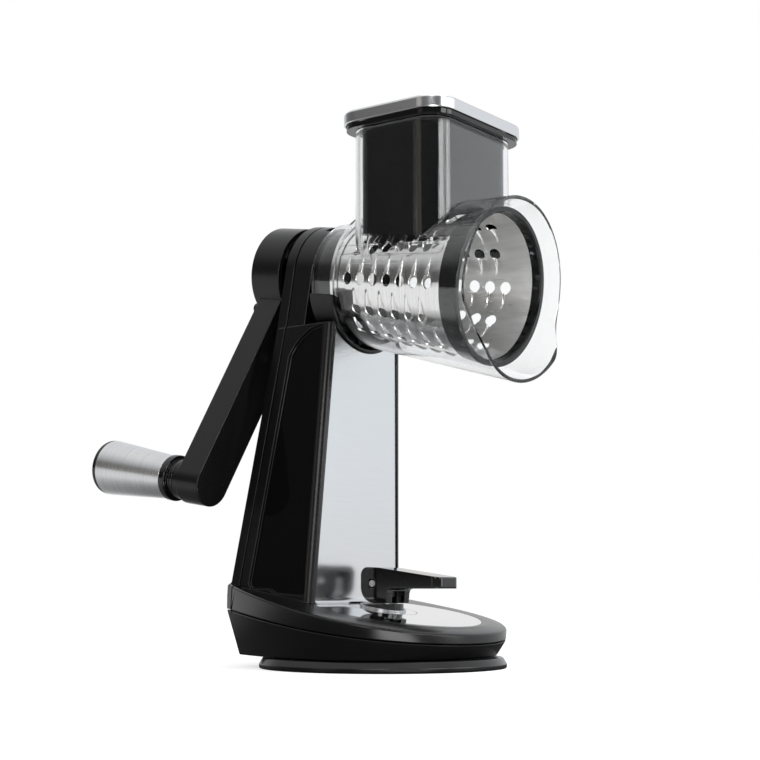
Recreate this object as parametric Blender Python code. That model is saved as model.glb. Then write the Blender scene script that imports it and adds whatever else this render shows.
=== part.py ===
"""Hand cranked rotary drum grater on a suction base, modelled in metres with +Z up.

Every piece is built about the middle of the suction cup on the table, with the mouth of the drum
looking along +X, tipped down by AXIS_TILT. The finished grater is then moved so that the origin is
on the table under the middle of its box. Along the drum's own axis, "station" is the distance in
front of the drum's front face, so everything behind the mouth has a negative station.
"""

import math

import bmesh
import bpy
from mathutils import Matrix, Vector, geometry

# Clearances
GAP = 0.0003                    # between two pieces that touch
RUNNING_GAP = 0.0004            # between a shaft or pin and what it turns in
SLIDE_GAP = 0.0008              # between the pusher and the chute

# Drum axis
AXIS_TILT = math.radians(9.15)  # the mouth points this far below the horizon
MOUTH_X = 0.0773
MOUTH_Z = 0.1981

# Suction cup
CUP_RADIUS = 0.0662
CUP_TOP_RADIUS = 0.0642
CUP_EDGE_HEIGHT = 0.0022
CUP_HEIGHT = 0.0058
CUP_HOLLOW_RADIUS = 0.046
CUP_HOLLOW_DEPTH = 0.0014
CUP_BOSS_RADIUS = 0.011
CUP_BOSS_TOP = 0.0175

# Base
BASE_BOTTOM = 0.0063
BASE_WALL = 0.0026
SEAM_HEIGHT = 0.0213            # height of the seam over the cup's middle
SEAM_SLOPE = 0.128
SEAM_FRONT = 0.0620
SEAM_HALF_WIDTH = 0.0685
RIM_HEIGHT = 0.0305
RIM_SLOPE = 0.190
RIM_FRONT = 0.0618
RIM_HALF_WIDTH = 0.0700
TOP_HEIGHT = 0.0312             # the flat that carries the steel facing
TOP_SLOPE = 0.168
TOP_FRONT = 0.0545
TOP_HALF_WIDTH = 0.0590
TOP_INSET = 0.0040              # of the flat, from the rim behind the tower
BASE_WIDEST_X = 0.004
BASE_BACK_X = -0.075
BASE_BACK_HALF = 0.0415
FLOOR_DRAFT = 0.0050            # how far the foot of the base draws in
OUTLINE_POWER = 2.15

# Tower
BACK_STATION = -0.1250          # outer back plane of the tower and head
COVER_DEPTH = 0.0065            # depth of the back cover
HEAD_FRONT_STATION = -0.1060
HEAD_RADIUS = 0.0284
CREASE_HEIGHT = 0.1830          # where the flared sides meet the upright head
TOWER_FOOT = 0.0310
BACK_HALF_FOOT = 0.0404
BACK_HALF_CREASE = 0.0291
FRONT_HALF_FOOT = 0.0416
FRONT_HALF_CREASE = 0.0327
TOWER_TOP = 0.1848
CORNER_RADIUS = 0.0046
TOWER_WALL = 0.0026
CAVITY_TOP = 0.1640
RECESS_DEPTH = 0.0014

# Cradle under the hopper tube
CRADLE_RADIUS = 0.0384
CRADLE_LIP = 0.0020
CRADLE_FRONT_STATION = -0.0825
LIP_TOP = 0.0135                # the lip starts this far under the drum axis

# Steel facing: a bent sheet up the tower and over the base
SHEET = 0.0006
FACE_X = -0.0185                # where the front plane would meet the table
FACE_SLOPE = 0.0434
FACE_HALF_FOOT = 0.0392         # half width at table height
FACE_TAPER = 0.0629
FACE_STANDS_BACK = 0.0008       # from the corner bars' front
FOLD_RADIUS = 0.0070
PLATE_FRONT = 0.0525
PLATE_HALF_WIDTH = 0.0505
PLATE_WIDEST_X = 0.011
PLATE_POWER = 1.9
SEAT_HOLE_RADIUS = 0.0187
FOLD_STEPS = 5
FACING_LEVELS = (0.180, 0.160)

# Suction lever and its stud
PIN_HEIGHT = TOP_HEIGHT + 0.0133   # the pin stands this far over the facing
PIN_RADIUS = 0.0019
LEVER_HALF_WIDTH = 0.0103
CHEEK = 0.0047
LEVER_TIP = 0.0430
LEVER_BACK = 0.0073             # from the pin to the back face, the released cam radius
LEVER_DROP = 0.0105             # from the pin to the flat foot, the locked cam radius
LEVER_LEG_FRONT = 0.0105
LEVER_TOP = 0.0088              # above the pin at the block
LEVER_TIP_TOP = 0.0033          # above the pin at the tip
LEVER_TIP_THICK = 0.0060
LEVER_TURN = math.radians(90)
SEAT_RADIUS = 0.0128
SEAT_BED = TOP_HEIGHT - 0.0050     # sunk this far into the base
STUD_RADIUS = 0.0040
STUD_FOOT_RADIUS = 0.0072
STUD_FOOT = 0.0022
STUD_HEAD_WIDTH = 0.0096
STUD_BOTTOM = 0.0092
STUD_TRAVEL = LEVER_DROP - LEVER_BACK

# Screws: places on the base as (x, y) and on the back cover as (up the drum's frame, y)
BASE_SCREWS = ((0.038, 0.036), (0.038, -0.036), (-0.048, 0.040), (-0.048, -0.040))
COVER_SCREWS = ((-0.050, 0.0225), (-0.050, -0.0225), (-0.165, 0.0310), (-0.165, -0.0310))
POST_TOP = 0.0125
BOSS_RADIUS = 0.0042
SCREW_SHANK = 0.0015
SCREW_HEAD = 0.0029
SCREW_HEAD_THICK = 0.0018
SCREW_LENGTH = 0.0130

# Drive
SHAFT_RADIUS = 0.0050
BUSH_RADIUS = 0.0085
BUSH_FLANGE = 0.0110
BUSH_FLANGE_THICK = 0.0012
WEB_FRONT_STATION = -0.1135
SOCKET_RADIUS = 0.0252
HUB_RADIUS = 0.02706
HUB_FRONT_STATION = -0.1311
HUB_BACK_STATION = -0.1516
HEX_ACROSS = 0.0088
HEX_FRONT_STATION = -0.0925
DRIVE_BOSS_RADIUS = 0.0095
CLIP_THICK = 0.0010
HUB_WALL = 0.0032
HUB_BOSS_RADIUS = 0.0095
HUB_SOCKET_DEPTH = 0.0150
KNOB_RADIUS_ON_ARM = 0.0236      # from the axis, down the arm
KNOB_RADIUS = 0.0032
KNOB_SHANK = 0.0016
KNOB_LENGTH = 0.0075

# Crank
CRANK_RADIUS = 0.1355
CRANK_LEAN = math.radians(25.2)
ARM_HALF_WIDTH = 0.0125
ARM_BACK_STATION = -0.1474
NECK_RADIUS = 0.0112

# Handle
BOSS_BACK_STATION = -0.1517
RING_FRONT_STATION = -0.1562
SLEEVE_FRONT_STATION = -0.1610
SLEEVE_BACK_STATION = -0.2075
GRIP_NECK_RADIUS = 0.0108
GRIP_RING_RADIUS = 0.0127
SLEEVE_FRONT_RADIUS = 0.0119
SLEEVE_BACK_RADIUS = 0.0154
SLEEVE_WALL = 0.0012
END_CAP_THICK = 0.0028
SPINDLE_RADIUS = 0.0032
SPINDLE_HEAD_RADIUS = 0.0055
SPINDLE_HEAD_THICK = 0.0020
SPINDLE_DEPTH = 0.0110          # how far it runs into the arm

# Drum
DRUM_RADIUS = 0.0400            # outside of the sheet, carried forward to the front face
DRUM_TAPER = math.tan(math.radians(6.5))
DRUM_SHEET = 0.0007
DRUM_BACK_STATION = -0.0905
DRUM_SHEET_FRONT = -0.0058
RING_RADIUS = 0.0421
RING_BORE = 0.0388
RING_LENGTH = 0.0124
TOOTH_PITCH = 0.00945
TOOTH_ROWS = 12
TEETH_LONG_ROW = 7
FIRST_TOOTH_STATION = -0.0783
TOOTH_ANGLE = math.radians(96.5)
HOLE_HALF_LENGTH = 0.0026
HOLE_HALF_HEIGHT = 0.0030
TAIL_LENGTH = 0.0098
LIP_HEIGHT = 0.0019
TOOTH_LEAD = 0.66               # share of a row's angle that lies above the hole

# Hopper tube and chute
TUBE_RADIUS = 0.0472            # outside, at the drum's front face
TUBE_TAPER = 0.1180
TUBE_WALL = 0.0020
TUBE_SHOULDER_STATION = -0.0860
NECK_FRONT_RADIUS = 0.0330
NECK_BACK_RADIUS = 0.0302
NECK_BACK_STATION = -0.1050
SPIGOT_LENGTH = 0.0070
SPIGOT_WALL = 0.0020
MOUTH_RIM_STATION = 0.0071
SPOUT_REACH = 0.0090
SPOUT_HALF_ANGLE = math.radians(62)
SPOUT_BLEND = math.radians(17)
CHUTE_CENTRE_X = 0.0338
CHUTE_HALF_X = 0.0298
CHUTE_HALF_Y = 0.0398
CHUTE_CORNER = 0.0140
CHUTE_WALL = 0.0020
CHUTE_TOP = 0.2852
LUG_HALF_WIDTH = 0.0032
LUG_LENGTH = 0.0030
LUG_ANGLES = (0.0, math.pi)
BAYONET_TURN = math.radians(24)

# Pusher
LID_HALF_X = 0.0346
LID_HALF_Y = 0.0446
LID_CORNER = 0.0150
LID_BOTTOM = CHUTE_TOP + 0.0031  # the flange of the body shows between them
LID_TOP = LID_BOTTOM + 0.0067
LID_EDGE = 0.0016
LID_SHEET = 0.0009
LID_INSET = 0.0014              # the black flange is this much smaller than the lid
PUSHER_WALL = 0.0018
PUSHER_DRUM_GAP = 0.0022        # over the tips of the teeth

# Tools that cut right through reach this far, and those that stand over the base this far over its flat
FAR = 0.3
OVER_BASE = 0.0075

# Facets
WELD = 0.000003                 # corners closer than this are one
VOLUME_SLACK = 1e-9             # by which a Boolean's volume may miss its bounds
ROUND = 36
FINE = 40
SMALL = 12

AXIS = Vector((math.cos(AXIS_TILT), 0.0, -math.sin(AXIS_TILT)))
AXIS_FRAME = Matrix.Translation((MOUTH_X, 0.0, MOUTH_Z)) @ Matrix.Rotation(AXIS_TILT, 4, "Y")
UPRIGHT = Matrix.Rotation(-math.pi / 2, 4, "Y")   # turns the local X axis up

COLOURS = {
    "black_plastic": ((0.020, 0.020, 0.021), 0.48, 0.0),
    "gloss_black": ((0.010, 0.010, 0.011), 0.12, 0.0),
    "rubber": ((0.014, 0.014, 0.015), 0.65, 0.0),
    "brushed_steel": ((0.62, 0.62, 0.63), 0.28, 1.0),
    "drum_steel": ((0.68, 0.68, 0.68), 0.20, 1.0),
    "aluminium": ((0.60, 0.60, 0.61), 0.35, 1.0),
    "clear_plastic": ((0.85, 0.88, 0.90), 0.05, 0.0),
    "zinc": ((0.45, 0.45, 0.46), 0.35, 1.0),
    "nylon": ((0.75, 0.74, 0.70), 0.50, 0.0),
}


def clear_scene():
    """Empty the scene that the script starts in."""
    for item in list(bpy.data.objects):
        bpy.data.objects.remove(item, do_unlink=True)


def finish(name):
    """Return the named finish as a Principled material, made once."""
    material = bpy.data.materials.get(name)
    if material:
        return material
    colour, roughness, metallic = COLOURS[name]
    material = bpy.data.materials.new(name)
    material.use_nodes = True
    shader = material.node_tree.nodes["Principled BSDF"]
    shader.inputs["Base Color"].default_value = (*colour, 1.0)
    shader.inputs["Roughness"].default_value = roughness
    shader.inputs["Metallic"].default_value = metallic
    material.diffuse_color = (*colour, 1.0)
    return material


def solid(name, points, faces, look="black_plastic", frame=None):
    """Make an object from points and faces, with its normals facing out."""
    mesh = bpy.data.meshes.new(name)
    mesh.from_pydata([tuple(point) for point in points], [], faces)
    work = bmesh.new()
    work.from_mesh(mesh)
    bmesh.ops.recalc_face_normals(work, faces=work.faces)
    bmesh.ops.triangulate(work, faces=work.faces)
    work.to_mesh(mesh)
    work.free()
    if frame is not None:
        mesh.transform(frame)
    item = bpy.data.objects.new(name, mesh)
    bpy.context.scene.collection.objects.link(item)
    mesh.materials.append(finish(look))
    return item


def turned(name, profile, look="black_plastic", frame=None, sides=ROUND):
    """Turn a closed profile of (station, radius) points about the local X axis."""
    points, rings = [], []
    for station, radius in profile:
        count = 1 if radius < 1e-7 else sides
        rings.append(range(len(points), len(points) + count))
        for step in range(count):
            angle = 2 * math.pi * step / sides
            points.append((station, -radius * math.sin(angle), radius * math.cos(angle)))
    faces = []
    for index, ring in enumerate(rings):
        after = rings[(index + 1) % len(rings)]
        for step in range(sides):
            follow = (step + 1) % sides
            corners = [ring[step % len(ring)], ring[follow % len(ring)],
                       after[follow % len(after)], after[step % len(after)]]
            corners = list(dict.fromkeys(corners))
            if len(corners) > 2:
                faces.append(corners)
    return solid(name, points, faces, look, frame)


def rod(name, start, end, radius, look="black_plastic", frame=None, sides=SMALL, bevel=0.0):
    """A round bar along the local X axis, with its ends bevelled."""
    if bevel:
        profile = [(start, 0), (start, radius - bevel), (start + bevel, radius),
                   (end - bevel, radius), (end, radius - bevel), (end, 0)]
    else:
        profile = [(start, 0), (start, radius), (end, radius), (end, 0)]
    return turned(name, profile, look, frame, sides)


def loft(name, sections, look="black_plastic", frame=None):
    """Skin a row of sections with equal point counts and close both ends."""
    count = len(sections[0])
    points = [point for section in sections for point in section]
    faces = []
    for level in range(len(sections) - 1):
        low, high = level * count, (level + 1) * count
        for step in range(count):
            follow = (step + 1) % count
            faces.append((low + step, low + follow, high + follow, high + step))
    faces.append(tuple(range(count)))
    faces.append(tuple(range(len(points) - count, len(points))))
    return solid(name, points, faces, look, frame)


def box(name, low, high, frame=None):
    """A box between two corners."""
    (x0, y0, z0), (x1, y1, z1) = low, high
    lower = [(x0, y0, z0), (x1, y0, z0), (x1, y1, z0), (x0, y1, z0)]
    upper = [(x, y, z1) for x, y, _ in lower]
    return loft(name, [lower, upper], frame=frame)


def volume_of(mesh):
    """Volume inside a closed mesh."""
    work = bmesh.new()
    work.from_mesh(mesh)
    volume = work.calc_volume()
    work.free()
    return volume


def is_plausible(operation, before, tool, after):
    """Whether a Boolean's volume can be right for the two volumes that went in."""
    least, most = {"UNION": (max(before, tool), before + tool),
                   "DIFFERENCE": (before - tool, before),
                   "INTERSECT": (0.0, min(before, tool))}[operation]
    return least - VOLUME_SLACK <= after <= most + VOLUME_SLACK


def boolean_result(item, tool, operation, solver):
    """The mesh of a Boolean, with corners that fall together made one, and whether it is sound."""
    modifier = item.modifiers.new("boolean", "BOOLEAN")
    modifier.operation = operation
    modifier.solver = solver
    modifier.object = tool
    graph = bpy.context.evaluated_depsgraph_get()
    shaped = bpy.data.meshes.new_from_object(item.evaluated_get(graph))
    item.modifiers.remove(modifier)
    work = bmesh.new()
    work.from_mesh(shaped)
    bmesh.ops.remove_doubles(work, verts=work.verts, dist=WELD)
    bmesh.ops.dissolve_degenerate(work, edges=work.edges, dist=WELD)
    closed = len(work.faces) > 0 and all(edge.is_manifold for edge in work.edges)
    if closed or solver == "EXACT":
        work.to_mesh(shaped)
    work.free()
    volumes = [volume_of(mesh) for mesh in (item.data, tool.data, shaped)]
    return shaped, closed and is_plausible(operation, *volumes)


def combine(item, tool, operation):
    """Apply a Boolean with the tool, which is used up: exact, or manifold where exact goes wrong."""
    shaped, sound = boolean_result(item, tool, operation, "EXACT")
    if not sound:
        shaped, sound = boolean_result(item, tool, operation, "MANIFOLD")
    item.data = shaped
    bpy.data.objects.remove(tool, do_unlink=True)
    return item


def cut(item, *tools):
    """Take each tool's shape out of the item."""
    for tool in tools:
        combine(item, tool, "DIFFERENCE")
    return item


def join(item, *tools):
    """Fuse each tool's shape with the item."""
    for tool in tools:
        combine(item, tool, "UNION")
    return item


def twin(item, name):
    """Copy an object with a mesh of its own."""
    copy = item.copy()
    copy.data = item.data.copy()
    copy.name = name
    bpy.context.scene.collection.objects.link(copy)
    return copy


def rounded_rectangle(half_x, half_y, corner, height, centre_x, arc_steps=6):
    """Corners of a rounded rectangle at one height, counter-clockwise."""
    points = []
    for quarter, (sign_x, sign_y) in enumerate(((1, 1), (-1, 1), (-1, -1), (1, -1))):
        for step in range(arc_steps + 1):
            angle = (quarter + step / arc_steps) * math.pi / 2
            points.append((centre_x + sign_x * (half_x - corner) + corner * math.cos(angle),
                           sign_y * (half_y - corner) + corner * math.sin(angle), height))
    return points


def axis_x(station, offset_up=0.0):
    """World x of a point on the drum axis, lifted square to it."""
    return MOUTH_X + station * math.cos(AXIS_TILT) + offset_up * math.sin(AXIS_TILT)


def axis_z(x):
    """Height of the drum axis over a world x."""
    return MOUTH_Z - (x - MOUTH_X) * math.tan(AXIS_TILT)


def face_x(z):
    """World x of the tower's front plane at a height."""
    return FACE_X + FACE_SLOPE * z


def back_x(z):
    """World x of the tower's outer back plane at a height."""
    return MOUTH_X + (BACK_STATION + (z - MOUTH_Z) * math.sin(AXIS_TILT)) / math.cos(AXIS_TILT)


def tower_half(x, z):
    """Half width of the tower at a place, flared towards its foot and its front."""
    rise = (z - TOWER_FOOT) / (CREASE_HEIGHT - TOWER_FOOT)
    back = BACK_HALF_FOOT + (BACK_HALF_CREASE - BACK_HALF_FOOT) * rise
    front = FRONT_HALF_FOOT + (FRONT_HALF_CREASE - FRONT_HALF_FOOT) * rise
    along = (x - back_x(z)) / (face_x(z) - back_x(z))
    return back + (front - back) * along


def tower_section(z, inset=0.0, back_inset=0.0, front_inset=0.0, arc_steps=5):
    """One level of the tower: square at the back, with round bars at the front corners."""
    back, front = back_x(z) + back_inset, face_x(z) - front_inset
    radius = max(CORNER_RADIUS - inset, 0.001)
    half = [(back, tower_half(back, z) - inset)]
    centre = (front - radius, tower_half(front, z) - inset - radius)
    for step in range(arc_steps + 1):
        angle = math.pi / 2 * (1 - step / arc_steps)
        half.append((centre[0] + radius * math.cos(angle), centre[1] + radius * math.sin(angle)))
    mirror = [(x, -y) for x, y in reversed(half)]
    return [(x, y, z) for x, y in half + mirror]


def base_section(front, half_width, height, slope, back_half=BASE_BACK_HALF, back=BASE_BACK_X,
                 inset=0.0, steps=11, side_steps=4):
    """An outline of the base on a sloping plane: a flared back half and a rounded front half."""
    front, half_width = front - inset, half_width - inset
    back, back_half = back + inset, back_half - inset
    half = []
    for step in range(side_steps):
        along = 1 - step / side_steps
        x = BASE_WIDEST_X + (back - BASE_WIDEST_X) * along
        half.append((x, half_width - (half_width - back_half) * along ** 1.6))
    for step in range(steps + 1):
        angle = math.pi / 2 * (1 - step / steps)
        reach = max(math.cos(angle), 0.0) ** (2 / OUTLINE_POWER)
        half.append((BASE_WIDEST_X + (front - BASE_WIDEST_X) * reach,
                     half_width * max(math.sin(angle), 0.0) ** (2 / OUTLINE_POWER)))
    half[-1] = (front, 0.0)
    mirror = [(x, -y) for x, y in reversed(half[:-1])]
    return [(x, y, height - slope * x) for x, y in half + mirror]


def behind(station, name="behind"):
    """A block that fills everything behind a station of the drum axis."""
    return box(name, (station - FAR, -FAR, -FAR), (station, FAR, FAR), AXIS_FRAME)


def in_front(station, name="in_front"):
    """A block that fills everything in front of a station of the drum axis."""
    return box(name, (station, -FAR, -FAR), (station + FAR, FAR, FAR), AXIS_FRAME)


def face_half(z):
    """Half width of the steel facing on the tower at a height."""
    return FACE_HALF_FOOT - FACE_TAPER * z


def upright_rod(name, x, y, low, high, radius, look="black_plastic", sides=SMALL):
    """A round bar standing up at a place."""
    return rod(name, low, high, radius, look, Matrix.Translation((x, y, 0)) @ UPRIGHT, sides)


def make_suction_cup():
    """The rubber cup, hollow underneath, with the boss that the stud hooks into."""
    profile = [
        (CUP_HOLLOW_DEPTH, 0), (CUP_HOLLOW_DEPTH, CUP_HOLLOW_RADIUS - 0.003), (0, CUP_HOLLOW_RADIUS),
        (0, CUP_RADIUS - 0.0008), (0.0008, CUP_RADIUS), (CUP_EDGE_HEIGHT, CUP_RADIUS),
        (CUP_HEIGHT - 0.0004, CUP_TOP_RADIUS), (CUP_HEIGHT, CUP_TOP_RADIUS - 0.0012),
        (CUP_HEIGHT, CUP_BOSS_RADIUS),
        (CUP_BOSS_TOP, CUP_BOSS_RADIUS), (CUP_BOSS_TOP, STUD_RADIUS + RUNNING_GAP),
        (STUD_BOTTOM + STUD_FOOT + GAP, STUD_RADIUS + RUNNING_GAP),
        (STUD_BOTTOM + STUD_FOOT + GAP, STUD_FOOT_RADIUS + RUNNING_GAP),
        (STUD_BOTTOM - STUD_TRAVEL - GAP, STUD_FOOT_RADIUS + RUNNING_GAP),
        (STUD_BOTTOM - STUD_TRAVEL - GAP, 0),
    ]
    return turned("suction_cup", profile, "rubber", UPRIGHT, FINE)


def make_base_lower_shell():
    """The tray that the tower stands on, with a bore for the cup's boss and four screw posts."""
    foot = dict(back_half=BASE_BACK_HALF - FLOOR_DRAFT, back=BASE_BACK_X + FLOOR_DRAFT)
    rim = SEAM_HEIGHT - GAP / 2
    shell = loft("base_lower_shell", [
        base_section(SEAM_FRONT - FLOOR_DRAFT, SEAM_HALF_WIDTH - FLOOR_DRAFT, BASE_BOTTOM, 0, **foot),
        base_section(SEAM_FRONT, SEAM_HALF_WIDTH, rim, SEAM_SLOPE)])
    floor = BASE_BOTTOM + BASE_WALL
    hollow = loft("hollow", [
        base_section(SEAM_FRONT - FLOOR_DRAFT, SEAM_HALF_WIDTH - FLOOR_DRAFT, floor, 0, inset=BASE_WALL, **foot),
        base_section(SEAM_FRONT, SEAM_HALF_WIDTH, rim + 0.004, SEAM_SLOPE, inset=BASE_WALL)])
    cut(shell, hollow)
    for x, y in BASE_SCREWS:
        join(shell, upright_rod("post", x, y, BASE_BOTTOM + 0.001, POST_TOP, BOSS_RADIUS))
    for x, y in BASE_SCREWS:
        cut(shell, upright_rod("clearance", x, y, 0, FAR, SCREW_SHANK + GAP, sides=12),
            upright_rod("counterbore", x, y, 0, BASE_BOTTOM + SCREW_HEAD_THICK + GAP, SCREW_HEAD + GAP))
    return cut(shell, upright_rod("bore", 0, 0, 0, FAR, CUP_BOSS_RADIUS + SLIDE_GAP, sides=ROUND))


def housing_blank():
    """The outside of the tower, head, cradle and upper base as one solid."""
    blank = loft("housing", [
        base_section(SEAM_FRONT, SEAM_HALF_WIDTH, SEAM_HEIGHT + GAP / 2, SEAM_SLOPE),
        base_section(RIM_FRONT, RIM_HALF_WIDTH, RIM_HEIGHT - 0.0008, RIM_SLOPE),
        base_section(RIM_FRONT, RIM_HALF_WIDTH, RIM_HEIGHT, RIM_SLOPE, inset=0.0010),
        base_section(TOP_FRONT, TOP_HALF_WIDTH, TOP_HEIGHT, TOP_SLOPE, BASE_BACK_HALF - TOP_INSET,
                     BASE_BACK_X + TOP_INSET)])
    levels = (SEAM_HEIGHT + 0.010, TOWER_FOOT + 0.02, 0.110, CREASE_HEIGHT, TOWER_TOP)
    tower = loft("tower", [tower_section(z, back_inset=-0.003) for z in levels])
    head_side = [(HEAD_RADIUS * math.cos(math.pi * step / 24), HEAD_RADIUS * math.sin(math.pi * step / 24))
                 for step in range(25)]
    outline = head_side + [(-BACK_HALF_CREASE, -0.040), (BACK_HALF_CREASE, -0.040)]
    head = loft("head", [[(station, y, w) for y, w in outline]
                         for station in (BACK_STATION - 0.002, HEAD_FRONT_STATION)], frame=AXIS_FRAME)
    lip = turned("lip", [
        (CRADLE_FRONT_STATION, CRADLE_RADIUS - 0.004), (CRADLE_FRONT_STATION, CRADLE_RADIUS + CRADLE_LIP - 0.0006),
        (CRADLE_FRONT_STATION - 0.0006, CRADLE_RADIUS + CRADLE_LIP), (-0.098, CRADLE_RADIUS + CRADLE_LIP),
        (-0.098, CRADLE_RADIUS - 0.004)], frame=AXIS_FRAME)
    cut(lip, box("upper_half", (-FAR, -FAR, -LIP_TOP), (FAR, FAR, FAR), AXIS_FRAME))
    join(blank, tower, lip)
    cut(blank, rod("cradle", HEAD_FRONT_STATION, 0.05, CRADLE_RADIUS, frame=AXIS_FRAME, sides=FINE))
    join(blank, head)
    return cut(blank, behind(BACK_STATION))


def recess_tool(side):
    """The shallow panel sunk into one flank of the tower."""
    outline = [(-0.0165, 0.1840), (-0.0262, 0.1818), (-0.0330, 0.1776), (-0.0372, 0.1734), (-0.0408, 0.1686),
               (-0.0612, 0.0440), (-0.0590, 0.0418), (-0.0466, 0.0414), (-0.0420, 0.0392), (-0.0225, 0.0380),
               (-0.0218, 0.0400)]
    inner = [(x, side * (tower_half(x, z) - RECESS_DEPTH), z) for x, z in outline]
    outer = [(x, side * (tower_half(x, z) + 0.010), z) for x, z in outline]
    return loft("recess", [inner, outer])


def housing_cavity():
    """The hollow inside the tower and the upper base."""
    front_wall = SHEET + 2 * GAP + TOWER_WALL + FACE_STANDS_BACK
    cavity = loft("cavity", [tower_section(z, TOWER_WALL + RECESS_DEPTH, TOWER_WALL, front_wall)
                             for z in (0.0, 0.09, CAVITY_TOP)])
    return join(cavity, loft("base_cavity", [
        base_section(SEAM_FRONT, SEAM_HALF_WIDTH, 0.0, SEAM_SLOPE, inset=BASE_WALL),
        base_section(SEAM_FRONT, SEAM_HALF_WIDTH, SEAM_HEIGHT + 0.001, SEAM_SLOPE, inset=BASE_WALL),
        base_section(TOP_FRONT, TOP_HALF_WIDTH, TOP_HEIGHT - BASE_WALL - 0.0018, TOP_SLOPE, inset=0.002)]))


def facing_pocket():
    """The shallow seat for the steel facing, which the corner bars stand proud of."""
    depth = FACE_STANDS_BACK + SHEET + GAP
    levels = (0.030, 0.110, 0.190)
    sections = []
    for z in levels:
        half = face_half(z) + GAP
        sections.append([(face_x(z) - depth, half, z), (face_x(z) + 0.02, half, z),
                         (face_x(z) + 0.02, -half, z), (face_x(z) - depth, -half, z)])
    pocket = loft("pocket", sections)
    keep = rod("lip_keeper", -0.1, CRADLE_FRONT_STATION + 0.01, CRADLE_RADIUS + CRADLE_LIP,
               frame=AXIS_FRAME, sides=FINE)
    cut(pocket, keep)
    return join(pocket, loft("plate_pocket", [
        plate_outline(GAP, -SHEET - GAP), plate_outline(GAP, 0.004)]))


def plate_half(x):
    """Half width of the steel facing over the base at a world x."""
    if x >= PLATE_WIDEST_X:
        along = min((x - PLATE_WIDEST_X) / (PLATE_FRONT - PLATE_WIDEST_X), 1.0)
        return PLATE_HALF_WIDTH * (1 - along ** PLATE_POWER) ** (1 / PLATE_POWER)
    along = (PLATE_WIDEST_X - x) / (PLATE_WIDEST_X - FACE_X)
    return PLATE_HALF_WIDTH - (PLATE_HALF_WIDTH - face_half(TOP_HEIGHT)) * min(along, 1.0) ** 2


def plate_stations(steps=10):
    """World x of the facing's rows over the base, closer together towards its round front."""
    back = FACE_X + FOLD_RADIUS
    return [back + (PLATE_FRONT - 0.0002 - back) * math.sin(math.pi / 2 * step / steps) for step in range(steps + 1)]


def plate_outline(grow, lift):
    """The facing's outline over the base, grown sideways and lifted."""
    half = [(FACE_X - 0.001, face_half(TOP_HEIGHT) + grow)]
    half += [(x + grow * (x - FACE_X) / (PLATE_FRONT - FACE_X), plate_half(x) + grow) for x in plate_stations()]
    mirror = [(x, -y) for x, y in reversed(half)]
    return [(x, y, TOP_HEIGHT - TOP_SLOPE * x + lift) for x, y in half + mirror]


def make_housing():
    """The upper shell and the back cover, split on one plane."""
    blank = housing_blank()
    for side in (-1, 1):
        cut(blank, recess_tool(side))
    cut(blank, facing_pocket(), housing_cavity())
    seam_station = BACK_STATION + COVER_DEPTH
    for w, y in COVER_SCREWS:
        place = AXIS_FRAME @ Matrix.Translation((0, y, w))
        join(blank, rod("boss", BACK_STATION + 0.001, seam_station + SCREW_LENGTH, BOSS_RADIUS, frame=place))
    join(blank, upright_rod("seat_pad", 0, 0, SEAT_BED - 0.006, TOP_HEIGHT - 0.0055, SEAT_HOLE_RADIUS + 0.002, sides=ROUND))
    for x, y in BASE_SCREWS:
        top = TOP_HEIGHT - TOP_SLOPE * x - 0.0025
        join(blank, upright_rod("boss", x, y, POST_TOP + GAP, top, BOSS_RADIUS))
    for w, y in COVER_SCREWS:
        place = AXIS_FRAME @ Matrix.Translation((0, y, w))
        cut(blank, rod("clearance", BACK_STATION - 0.01, BACK_STATION + SCREW_LENGTH + GAP,
                       SCREW_SHANK + GAP, frame=place, sides=12),
            rod("counterbore", BACK_STATION - 0.01, BACK_STATION + SCREW_HEAD_THICK + GAP,
                SCREW_HEAD + GAP, frame=place))
    for x, y in BASE_SCREWS:
        cut(blank, upright_rod("clearance", x, y, 0, BASE_BOTTOM + SCREW_LENGTH + GAP, SCREW_SHANK + GAP, sides=12))
    cut(blank,
        rod("socket", WEB_FRONT_STATION, 0.0, SOCKET_RADIUS, frame=AXIS_FRAME, sides=ROUND),
        rod("bearing_bore", -FAR, 0.0, BUSH_RADIUS + GAP, frame=AXIS_FRAME, sides=ROUND),
        rod("flange_seat", -FAR, BACK_STATION + BUSH_FLANGE_THICK, BUSH_FLANGE + GAP, frame=AXIS_FRAME, sides=ROUND),
        *[bayonet_slot(entry, turned_by) for turned_by in LUG_ANGLES for entry in (True, False)])
    over = TOP_HEIGHT + OVER_BASE
    cut(blank, upright_rod("stud_bore", 0, 0, 0, over, STUD_RADIUS + RUNNING_GAP, sides=ROUND),
        upright_rod("seat_bed", 0, 0, SEAT_BED, over, SEAT_HOLE_RADIUS, sides=ROUND))
    cover = twin(blank, "back_cover")
    shell = blank
    shell.name = "upper_shell"
    cut(cover, in_front(seam_station - GAP / 2))
    cut(shell, behind(seam_station + GAP / 2))
    return shell, cover


def bayonet_slot(entry, turned_by):
    """One run of an L shaped slot through the head's wall: in from the front, or round to the lock."""
    reach = HEAD_FRONT_STATION - SPIGOT_LENGTH + 0.0014
    half = math.asin((LUG_HALF_WIDTH + GAP) / HEAD_RADIUS)
    first, last = (BAYONET_TURN - half, BAYONET_TURN + half) if entry else (-half, BAYONET_TURN + half)
    front = HEAD_FRONT_STATION + 0.010 if entry else reach + LUG_LENGTH + 2 * GAP
    return ring_block("slot", reach, front, SOCKET_RADIUS - 0.004, HEAD_RADIUS + 0.004, first, last, turned_by)


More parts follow.
